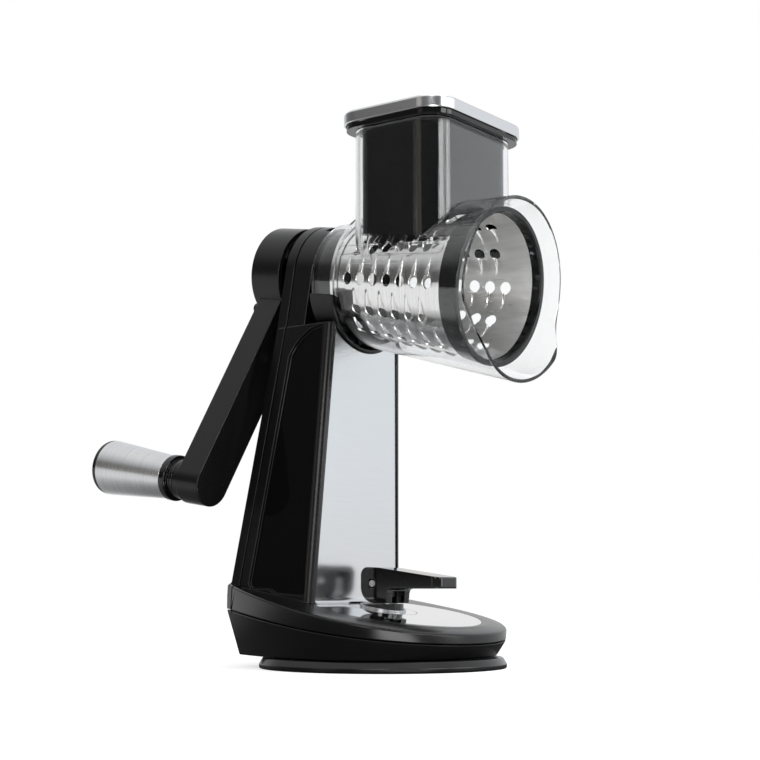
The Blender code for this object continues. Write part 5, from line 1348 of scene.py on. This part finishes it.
@dataclass(frozen=True)
class Drum:
    """The perforated steel cone with its pressed teeth, its hub and its front ring."""

    radius: float = 0.0400
    taper: float = math.tan(math.radians(6.5))
    sheet: float = 0.0007
    back: float = -0.0905
    front: float = -0.0058
    pitch: float = 0.00945
    rows: int = 12
    teeth: int = 7
    first: float = -0.0783
    first_angle: float = math.radians(96.5)
    lead: float = 0.66
    hole: tuple[float, float] = (0.0031, 0.0034)
    tail: float = 0.0106
    tail_half: tuple[float, float] = (0.0009, 0.0018)
    lip: float = 0.0014
    mean_radius: float = 0.0350
    ring: tuple[float, float, float] = (-0.0124, 0.0421, 0.0388)

    def at(self, station: float) -> float:
        """Outside radius of the sheet."""
        return self.radius + self.taper * station

    def tail_width(self, y: float) -> float:
        """Half width of a tail, narrow at its tip."""
        narrow, wide = self.tail_half
        return narrow + (wide - narrow) * (y + self.tail) / (self.tail - self.hole[1])

    def height(self, x: float, y: float) -> float:
        """How far the pressed tail stands out, as a half cone from its tip to the lip over the hole."""
        rise = (y + self.tail) / (self.tail - self.hole[1])
        if rise <= 0 or y > 0:
            return 0.0
        wide = self.tail_width(y)
        if abs(x) >= wide:
            return 0.0
        return self.lip * (0.3 + 0.7 * min(rise, 1.0)) * (1 - (x / wide) ** 2) ** 0.4

    def cell(self, name: str, half: float, tooth: bool, along: int) -> bpy.types.Object:
        """One flat cell of the pattern: x along the axis, y round it, z outwards.

        Args:
            name: the object's name.
            half: half of its length along the axis.
            tooth: whether it has a tooth and its hole.
            along: chords of its long sides.

        Returns:
            The cell. Its edge attribute is 1 where y is an angle times the mean radius.
        """
        turn = 2 * math.pi / self.rows * self.mean_radius
        low, high, rounds = -turn * self.lead, turn * (1 - self.lead), 12
        rim = [(-half + 2 * half * k / along, low) for k in range(along)]
        rim += [(half, low + (high - low) * k / rounds) for k in range(rounds)]
        rim += [(half - 2 * half * k / along, high) for k in range(along)]
        rim += [(-half, high - (high - low) * k / rounds) for k in range(rounds)]
        spots = [Vector(spot) for spot in rim]
        links = [(k, (k + 1) % len(rim)) for k in range(len(rim))]
        bore: list[Vector] = []
        if tooth:
            bore = [Vector((self.hole[0] * math.cos(a), self.hole[1] * math.sin(a)))
                    for a in (2 * math.pi * k / 32 for k in range(32))]
            start = len(spots)
            spots += bore
            links += [(start + k, start + (k + 1) % 32) for k in range(32)]
            for level in range(13):
                y = -self.tail + 0.0001 + (self.tail - 0.0002) * level / 12
                wide = self.tail_width(y)
                for k in range(-5, 6):
                    spot = Vector((wide * k / 5, y))
                    if (spot.x / self.hole[0]) ** 2 + (spot.y / self.hole[1]) ** 2 > 1.12:
                        spots.append(spot)
        corners, _, triangles, origins, _, _ = geometry.delaunay_2d_cdt(spots, links, [], 1, 1e-7)
        faces = []
        for triangle in triangles:
            centre = sum((corners[k] for k in triangle), Vector((0, 0))) / 3
            in_hole = (centre.x / self.hole[0]) ** 2 + (centre.y / self.hole[1]) ** 2 < 0.99
            if not (tooth and in_hole):
                faces.append(tuple(triangle))
        mesh = bpy.data.meshes.new(name)
        points = [(x, y, self.height(x, y) if tooth else 0.0) for x, y in corners]
        mesh.from_pydata(points, [], faces)
        edge = mesh.attributes.new("edge", "FLOAT", "POINT")
        for index, origin in enumerate(origins):
            edge.data[index].value = float(not tooth or any(k < len(rim) for k in origin))
        return placed(name, mesh)

    def sheet_pattern(self) -> Pattern:
        """The tree that repeats the cells in rows and bends them round the cone."""
        pattern = Pattern("drum_pattern")
        graph = pattern.graph
        rows = pattern.value("Rows", "NodeSocketInt", self.rows)
        teeth = pattern.value("Teeth in a long row", "NodeSocketInt", self.teeth)
        pitch = pattern.value("Pitch", "NodeSocketFloat", self.pitch)
        first = pattern.value("First tooth", "NodeSocketFloat", self.first)
        turn = pattern.value("First row", "NodeSocketFloat", self.first_angle)
        radius = pattern.value("Radius", "NodeSocketFloat", self.radius)
        taper = pattern.value("Taper", "NodeSocketFloat", self.taper)
        index = graph.wire(graph.add("GeometryNodeInputIndex"))
        half_pitch = self.pitch / 2
        start, stop = self.first - half_pitch, self.first + self.pitch * (self.teeth - 1) + half_pitch
        tooth = self.cell("tooth_cell", half_pitch, True, 8)
        blank = self.cell("blank_cell", half_pitch / 2, False, 4)
        back_band = self.cell("back_band", (start - self.back) / 2, False, 3)
        front_band = self.cell("front_band", (self.front - stop) / 2, False, 4)
        row = (index / teeth).floor()
        column = index - row * teeth
        short = row.math("MODULO", 2.0)
        station = first + pitch * column + short * pitch * 0.5
        parts = [self._copies(pattern, "Tooth", tooth, rows * teeth, station, turn, row,
                              (short * (column + 1.0)) < teeth)]
        row = (index / 2.0).floor()
        station = (index - row * 2.0) * (stop - start - half_pitch) + (start + half_pitch / 2)
        parts.append(self._copies(pattern, "Blank", blank, rows * 2.0, station, turn, row,
                                  row.math("MODULO", 2.0) > 0.5))
        for title, item, middle in (("Back band", back_band, (self.back + start) / 2),
                                    ("Front band", front_band, (stop + self.front) / 2)):
            parts.append(self._copies(pattern, title, item, rows, index * 0.0 + middle, turn, index,
                                      index > -1.0))
        joined = self.tree_join(pattern, parts)
        real = graph.wire(graph.add("GeometryNodeRealizeInstances", Geometry=joined))
        x, y, z = graph.xyz(graph.wire(graph.add("GeometryNodeInputPosition")))
        at, edge = pattern.named("station"), pattern.named("edge")
        per_length = (1.0 - edge) / (radius + taper * at) + edge * (1.0 / self.mean_radius)
        angle = pattern.named("turn") + y * per_length
        reach = radius + taper * (at + x) + z
        bent = graph.add("ShaderNodeCombineXYZ", X=at + x, Y=reach * angle.sin() * -1.0,
                         Z=reach * angle.cos())
        moved = graph.add("GeometryNodeSetPosition", Geometry=real, Position=graph.wire(bent))
        merged = graph.add("GeometryNodeMergeByDistance", Geometry=graph.wire(moved), Distance=0.00002)
        pattern.end(graph.wire(merged), DRUM_STEEL)
        return pattern

    @staticmethod
    def tree_join(pattern: Pattern, parts: Sequence[Wire]) -> Wire:
        """Join several geometries."""
        node = pattern.tree.nodes.new("GeometryNodeJoinGeometry")
        for part in parts:
            pattern.tree.links.new(part.socket, node.inputs[0])
        return pattern.graph.wire(node)

    def _copies(self, pattern: Pattern, title: str, cell: bpy.types.Object, count: Wire, station: Wire,
                turn: Wire, row: Wire, chosen: Wire) -> Wire:
        """Instances of one cell, each with its station and the angle of its row."""
        graph = pattern.graph
        source = pattern.value(title, "NodeSocketObject", cell)
        line = graph.wire(graph.add("GeometryNodeMeshLine", Count=count, Offset=(0.0, 0.0, 0.0)))
        line = pattern.store(line, "station", station)
        line = pattern.store(line, "turn", turn + row * (2 * math.pi / self.rows))
        copies = graph.add("GeometryNodeInstanceOnPoints", Points=line, Instance=pattern.piece(source),
                           Selection=chosen)
        return graph.wire(copies)

    def build(self) -> None:
        """Make the sheet, the hub and the ring."""
        sheet = placed("drum_shell_sheet", bpy.data.meshes.new("drum_shell_sheet"))
        self.sheet_pattern().run(sheet)
        work = bmesh.new()
        work.from_mesh(sheet.data)
        bmesh.ops.recalc_face_normals(work, faces=work.faces)
        if sum((f.calc_center_median().yz.dot(f.normal.yz) for f in work.faces)) < 0:
            bmesh.ops.reverse_faces(work, faces=work.faces)
        work.to_mesh(sheet.data)
        work.free()
        thick = sheet.modifiers.new("thick", "SOLIDIFY")
        thick.thickness, thick.offset, thick.use_rim = self.sheet, -1.0, True
        evaluated(sheet)
        sheet.data.materials.clear()
        for finish in (DRUM_STEEL, INNER_STEEL_PAINTED_LIGHT):
            sheet.data.materials.append(finish.material())
        # Faces that look inwards take the inner steel, painted brighter for the light inside the drum.
        for polygon in sheet.data.polygons:
            polygon.material_index = int(polygon.center.yz.normalized().dot(polygon.normal.yz) < -0.5)
        sheet.data.transform(AXIS.frame)
        for name in ("tooth_cell", "blank_cell", "back_band", "front_band"):
            bpy.data.objects.remove(bpy.data.objects[name], do_unlink=True)
        dressed(sheet, DRUM_STEEL, Body.DRUM, "drum_shell", angle=math.radians(50))
        step, (back, outer, bore) = self.front + GAP, self.ring
        ring = [(back, self.at(back) + GAP, 0), (back, self.at(back) + 0.0013, 0.0004),
                (-0.0012, outer, 0.0006), (0.0, outer, 0.0008), (0.0, 0.0396, 0.0006),
                (-0.0008, bore, 0.0004), (step, bore, 0.0003), (step, self.at(step) + GAP, 0)]
        item = turned("drum_front_ring_skin", rounded(ring), AXIS.frame, 192)
        dressed(item, GLOSS, Body.DRUM, "drum_front_ring")
        hub = refined("drum_hub", BLACK, Body.DRUM, 0.0003)
        hub.data.materials.append(DRUM_STEEL.material())
        ahead = AXIS.frame.to_3x3() @ Vector((1, 0, 0))
        for polygon in hub.data.polygons:
            if polygon.normal.dot(ahead) > 0.7:
                polygon.material_index = 1


@dataclass(frozen=True)
class Hopper:
    """The clear tube with its pouring lip and chute, the pusher in it and the pusher's steel lid."""

    drum: Drum
    radius: float = 0.0472
    taper: float = 0.1180
    wall: float = 0.0020
    shoulder: float = -0.0860
    neck: float = -0.1050
    spigot_back: float = -0.1130
    spigot: float = 0.0249
    rim: float = 0.0071
    centre_x: float = 0.0338
    half: tuple[float, float, float] = (0.0298, 0.0398, 0.0140)
    chute_top: float = 0.2852
    lid: tuple[float, float, float] = (0.0346, 0.0446, 0.0150)
    lid_heights: tuple[float, float] = (0.2883, 0.2950)
    foot: float = 0.0198
    pusher_corner: float = 0.0146
    ridge_stations: tuple[float, float] = (-0.0830, -0.0105)
    ridge_angles: tuple[float, float] = (1.21, 1.345)
    lug_radii: tuple[float, float] = (0.0240, 0.0279)
    lug_length: float = 0.0030
    lug_half_width: float = 0.0032
    socket_radius: float = 0.0284
    pusher_play: float = SLIDE_GAP - 0.0004
    flange_inset: float = 0.0014
    saddle_gap: float = 0.0022
    lid_edge: float = 0.0016
    lid_sheet: tuple[float, float] = (0.0009, 0.0025)

    def at(self, station: float) -> float:
        """Outside radius of the tube in front of its shoulder."""
        return self.radius + self.taper * station

    @staticmethod
    def spout(angle: float, base: float) -> float:
        """Station of the rim, drawn forward in a smooth lip at the bottom."""
        off = abs(math.atan2(math.sin(angle - math.pi), math.cos(angle - math.pi)))
        blend = math.radians(17)
        share = min(max((math.radians(62) + blend - off) / (2 * blend), 0.0), 1.0)
        return base + 0.0090 * share * share * (3 - 2 * share)

    def tube(self, name: str, profile: Sequence[tuple[float, float]], rims: Sequence[tuple[float, float]],
             sides: int = 192) -> bpy.types.Object:
        """A closed turned solid whose front rings follow the spout.

        Args:
            name: the object's name.
            profile: (station, radius) points from the back.
            rims: (station, inset from the tube's outside) of each front ring.
            sides: corners of each ring.

        Returns:
            The solid.
        """
        rings: list[Ring] = []
        angles = [2 * math.pi * step / sides for step in range(sides)]
        for station, radius in profile:
            rings.append([(station, -radius * math.sin(a), radius * math.cos(a)) for a in angles])
        for base, inset in rims:
            ring = []
            for angle in angles:
                station = self.spout(angle, base)
                radius = self.at(station) - inset
                ring.append((station, -radius * math.sin(angle), radius * math.cos(angle)))
            rings.append(ring)
        return loft(name, rings, AXIS.frame)

    def box(self, name: str, inset: float, low: float, high: float) -> bpy.types.Object:
        """An upright rounded block round the chute's middle."""
        x, y, corner = (value - inset for value in self.half)
        return loft(name, [rounded_rectangle(x, y, corner, z, self.centre_x) for z in (low, high)])

    def ridge(self, side: int) -> bpy.types.Object:
        """The long thin frame moulded on one side of the tube, under the chute's foot."""
        (first, last), (low, high) = self.ridge_stations, self.ridge_angles
        sections = []
        outline = [(first, low), (first, high)]
        outline += [(first + (last - first) * k / 24, high) for k in range(1, 24)]
        outline += [(last, high - 0.02), (last + 0.0006, (low + high) / 2), (last, low + 0.02)]
        outline += [(last - (last - first) * k / 24, low) for k in range(1, 24)]
        middle_s, middle_a = (first + last) / 2, (low + high) / 2
        half_s, half_a = (last - first) / 2, (high - low) / 2
        for station, angle in outline:
            section = []
            for shrink, lift in ((1, -0.0004), (1, 0.00035), (-1, 0.00035), (-1, -0.0004)):
                s = middle_s + (station - middle_s) * (1 + shrink * 0.0004 / half_s)
                a = middle_a + (angle - middle_a) * (1 + shrink * 0.0004 / self.radius / half_a)
                radius = self.at(s) + lift
                section.append((s, -side * radius * math.sin(a), radius * math.cos(a)))
            sections.append(section)
        return loft("ridge", sections, AXIS.frame, True)

    def build_tube(self) -> None:
        """Make the clear tube and its chute."""
        s, wall = self.shoulder, self.wall
        item = self.tube("hopper_tube_skin", [
            (self.spigot_back, self.spigot), (self.neck - 0.0001, self.spigot), (self.neck, 0.0296),
            (self.neck + 0.0006, 0.0302), (s - 0.0024, 0.0328), (s - 0.0008, self.at(s) - 0.0012),
            (s, self.at(s)), (s / 2, self.at(s / 2))
        ], [(self.rim - 0.0007, 0.0), (self.rim - 0.0002, 0.0002), (self.rim, 0.0007)])
        foot = AXIS.height(self.centre_x) + 0.0010
        join(item, self.box("chute", 0.0, foot, self.chute_top))
        cavity = self.tube("cavity", [
            (self.spigot_back - 0.01, self.spigot - 0.002), (self.neck + wall, self.spigot - 0.002),
            (self.neck + wall + 0.0002, 0.0285), (s - 0.0010, 0.0310), (s + 0.0010, self.at(s) - wall),
            (s / 2, self.at(s / 2) - wall)
        ], [(self.rim - 0.0007, wall), (self.rim - 0.0002, wall - 0.0002), (self.rim + 0.0002, wall - 0.0008),
            (self.rim + 0.004, wall - 0.0008)])
        join(cavity, self.box("chute_inside", wall, foot + 0.004, self.chute_top + 0.01))
        cut(item, cavity)
        join(item, self.ridge(1), self.ridge(-1))
        half = math.asin(self.lug_half_width / self.socket_radius)
        reach = self.spigot_back + 0.0017
        (inner, outer), angles = self.lug_radii, [-half + half * step / 4 for step in range(9)]
        ring = [(inner, a) for a in angles] + [(outer, a) for a in reversed(angles)]
        sections = [[(x, -r * math.sin(a), r * math.cos(a)) for r, a in ring]
                    for x in (reach, reach + self.lug_length)]
        for turned_by in (0.0, math.pi):
            join(item, loft("lug", sections, AXIS.frame @ Matrix.Rotation(turned_by, 4, "X")))
        dressed(item, CLEAR, Body.HOPPER, "hopper_tube", angle=math.radians(28))

    def build_pusher(self) -> None:
        """Make the pusher and its lid."""
        play = self.wall + self.pusher_play
        low, high = self.lid_heights
        top, centre = low - GAP, self.centre_x
        x, y = self.half[0] - play, self.half[1] - play
        body = loft("pusher_body_skin", [rounded_rectangle(x, y, self.pusher_corner, z, centre, 20)
                                         for z in (AXIS.height(centre), top)])
        flange = [value - self.flange_inset for value in self.lid]
        join(body, loft("flange", [rounded_rectangle(*flange, z, centre)
                                   for z in (self.chute_top + GAP, top)]))
        clear = self.drum.lip + self.saddle_gap
        back, front = -0.12, 0.03
        saddle = [(back, 0), (back, self.drum.at(back) + clear), (front, self.drum.at(front) + clear),
                  (front, 0)]
        cut(body, turned("saddle", saddle, AXIS.frame, 160),
            block("foot_plane", (-0.3, -0.3, -0.3), (0.3, 0.3, self.foot), AXIS.frame))
        dressed(bevelled(body, 0.0004), GLOSS, Body.PUSHER, "pusher_body")
        edge = self.lid_edge
        turns = [math.pi / 2 * k / 8 for k in range(9)]
        levels = [(low, 0.0004), (low + 0.0004, 0.0)]
        levels += [(high - edge + edge * math.sin(a), edge - edge * math.cos(a)) for a in turns]
        lid = loft("pusher_lid_skin", [rounded_rectangle(*(value - inset for value in self.lid), z, centre)
                                       for z, inset in levels])
        side, roof = self.lid_sheet
        inner = [value - side for value in self.lid]
        cut(lid, loft("hollow", [rounded_rectangle(*inner, z, centre) for z in (low - 0.01, high - roof)]))
        dressed(lid, FACING_STEEL, Body.PUSHER, "pusher_lid")

    def build(self) -> None:
        """Make the tube and the pusher."""
        self.build_tube()
        self.build_pusher()


@dataclass(frozen=True)
class Studio:
    """The white floor and background, the lamps and the camera."""

    camera_place: Point = (0.5012, -0.68815, 0.04317)
    turn: float = math.radians(36.173)
    rise: float = math.radians(7.494)
    lens: float = 74.2
    # The floor's painted glowing patch, seen only in reflections: its way out from the middle, its edge, its
    # glow and its reach.
    painted_glint_way: tuple[float, float] = (0.857, -0.515)
    painted_glint_edge: float = 0.962
    painted_glint_power: float = 45.0
    painted_glint_reach: tuple[float, float] = (0.115, 0.21)

    @staticmethod
    def rays(graph: Graph) -> tuple[Wire, Wire]:
        """1 for rays straight from the camera, also through glass, and 1 for rays that gloss turned round."""
        path = graph.add("ShaderNodeLightPath")
        mirrored = graph.wire(path, "Glossy Depth") > 0.5
        straight = (graph.wire(path, "Is Camera Ray") + graph.wire(path, "Is Transmission Ray")).held()
        return straight * (1.0 - mirrored), mirrored

    def world(self) -> None:
        """White to the camera, and a studio that metal and gloss reflect.

        At eye level the studio is dark on the camera's side and bright behind the object, with one warm
        strip. It grows lighter towards its ceiling.
        """
        world = bpy.data.worlds.new("studio")
        bpy.context.scene.world = world
        world.use_nodes = True
        world.node_tree.nodes.clear()
        graph = Graph(world.node_tree)
        straight, mirrored = self.rays(graph)
        x, y, lift = graph.xyz(graph.coordinates("Generated"))
        round_about = y.math("ARCTAN2", x) / (2 * math.pi) + 0.5
        dark, warm, cool = grey(0.08), (1.0, 0.92, 0.84), (0.93, 0.97, 1.0)
        low = graph.ramp(round_about, (0.0, grey(0.30)), (0.10, dark), (0.163, dark), (0.170, warm),
                         (0.222, warm), (0.230, dark), (0.404, grey(0.05)), (0.565, (0.10, 0.11, 0.12)),
                         (0.615, cool), (0.78, cool), (0.86, (0.96, 0.93, 0.90)), (1.0, grey(0.6)))
        high = graph.ramp(lift, (0.10, grey(0.08)), (0.32, grey(0.14)), (0.50, grey(0.50)),
                          (0.80, grey(0.90)))
        behind = graph.ramp(round_about, (0.56, grey(0)), (0.62, grey(1)), (0.92, grey(1)), (1.0, grey(0)))
        upper = graph.blend(behind, high, (0.85, 0.86, 0.88, 1.0))
        studio = graph.blend(graph.ramp(lift, (0.12, grey(0)), (0.42, grey(1))), low, upper)
        ambient = graph.blend(mirrored, (0.50, 0.50, 0.51, 1.0), studio)
        colour = graph.blend(straight, ambient, (1.0, 1.0, 1.0, 1.0))
        back = graph.add("ShaderNodeBackground", Color=colour, Strength=1.0)
        graph.add("ShaderNodeOutputWorld", Surface=graph.wire(back))

    def floor(self) -> None:
        """A pale floor, white to the camera but for the shadow. In gloss it is a painted shadow, dark close
        round the base, with a painted glowing patch that puts a highlight on the base's front.
        """
        mesh = bpy.data.meshes.new("floor")
        reach = 12.0
        mesh.from_pydata([(-reach, -reach, 0), (reach, -reach, 0), (reach, reach, 0), (-reach, reach, 0)], [],
                         [(0, 1, 2, 3)])
        item = placed("floor", mesh)
        made = bpy.data.materials.new("floor")
        made.use_nodes = True
        made.node_tree.nodes.clear()
        graph = Graph(made.node_tree)
        matt = graph.add("ShaderNodeBsdfDiffuse", Color=(0.80, 0.80, 0.80, 1.0))
        straight, gloss = self.rays(graph)
        glow = graph.add("ShaderNodeEmission", Color=(1.0, 1.0, 1.0, 1.0), Strength=straight * 0.62)
        both = graph.add("ShaderNodeAddShader", _0=graph.wire(matt), _1=graph.wire(glow))
        place = graph.coordinates()
        away = graph.wire(graph.add("ShaderNodeVectorMath", {"operation": "LENGTH"}, _0=place), "Value")
        # Painted shadow: in reflections the floor is dark close round the base, where the object's shadow
        # falls, and pale farther out.
        shade = graph.ramp(away, (0.11, grey(0.08)), (0.22, grey(0.30)), (0.38, grey(0.90)))
        towards = graph.wire(graph.add("ShaderNodeVectorMath", {"operation": "DOT_PRODUCT"}, _0=place,
                                       _1=(*self.painted_glint_way, 0.0)), "Value") / away
        # Painted highlight: a patch of the floor in front of the base glows brightly in reflections only, to
        # put a highlight on the base's front band.
        (near, far), soft = self.painted_glint_reach, 0.02
        painted_glint = ((towards - self.painted_glint_edge) / 0.025).held()
        painted_glint = painted_glint * ((away - near) / soft).held() * ((far - away) / soft).held()
        mirrored = graph.add("ShaderNodeEmission", Color=shade, Strength=1.0 + painted_glint * self.painted_glint_power)
        look = graph.add("ShaderNodeMixShader", _0=gloss, _1=graph.wire(both), _2=graph.wire(mirrored))
        graph.add("ShaderNodeOutputMaterial", Surface=graph.wire(look))
        mesh.materials.append(made)

    def lamp(self, name: str, place: Point, aim: Point, size: tuple[float, float], power: float) -> None:
        """An area lamp aimed at a point."""
        data = bpy.data.lights.new(name, "AREA")
        data.shape, data.size, data.size_y, data.energy = "RECTANGLE", size[0], size[1], power
        item = placed(name, data)
        item.location = place
        item.rotation_euler = (Vector(aim) - Vector(place)).to_track_quat("-Z", "Y").to_euler()

    def camera(self) -> None:
        """The camera at the photograph's angle."""
        data = bpy.data.cameras.new("camera")
        data.lens, data.sensor_width, data.clip_start = self.lens, 36.0, 0.01
        item = placed("camera", data)
        item.location = HOME @ Vector(self.camera_place)
        ahead = Vector((-math.sin(self.turn) * math.cos(self.rise), math.cos(self.turn) * math.cos(self.rise),
                        math.sin(self.rise)))
        item.rotation_euler = ahead.to_track_quat("-Z", "Y").to_euler()
        bpy.context.scene.camera = item

    def build(self) -> None:
        """Set up the studio."""
        bpy.context.scene.view_settings.view_transform = "Standard"
        self.world()
        self.floor()
        self.lamp("top_softbox", (0.15, 0.1, 1.25), (0.0, 0.0, 0.12), (1.0, 1.0), 3.6)
        self.lamp("right_softbox", (1.1, 0.50, 0.38), (0.05, 0.0, 0.18), (0.5, 0.7), 3.4)
        self.lamp("front_softbox", (0.66, -1.18, 0.28), (0.0, 0.0, 0.13), (0.50, 0.26), 2.6)
        self.lamp("side_softbox", (1.32, -0.09, 0.48), (0.05, 0.0, 0.20), (0.52, 0.70), 5.0)
        self.lamp("upper_softbox", (0.75, -1.03, 0.95), (0.0, 0.0, 0.03), (0.34, 0.20), 1.5)
        self.camera()


def main() -> None:
    """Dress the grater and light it."""
    logging.basicConfig(level=logging.INFO, format="%(name)s %(message)s")
    housing = Housing()
    facing = Facing(housing)
    housing.build(facing.pocket())
    facing.build()
    Suction(housing).build()
    crank = Crank()
    crank.build()
    screws = Screws()
    stand_nodes = [f"{kind}_screw_{number}" for kind in ("base", "cover") for number in range(1, 5)]
    screws.place("stand_screws", housing.screw_places(), Body.STAND, stand_nodes)
    hub_place = AXIS.frame @ Matrix.Translation((crank.hub[0], 0, 0))
    screws.place("hub_screw_fine", [hub_place], Body.CRANK, ["hub_screw"])
    drum = Drum()
    drum.build()
    Hopper(drum).build()
    Studio().build()


if __name__ == "__main__":
    main()
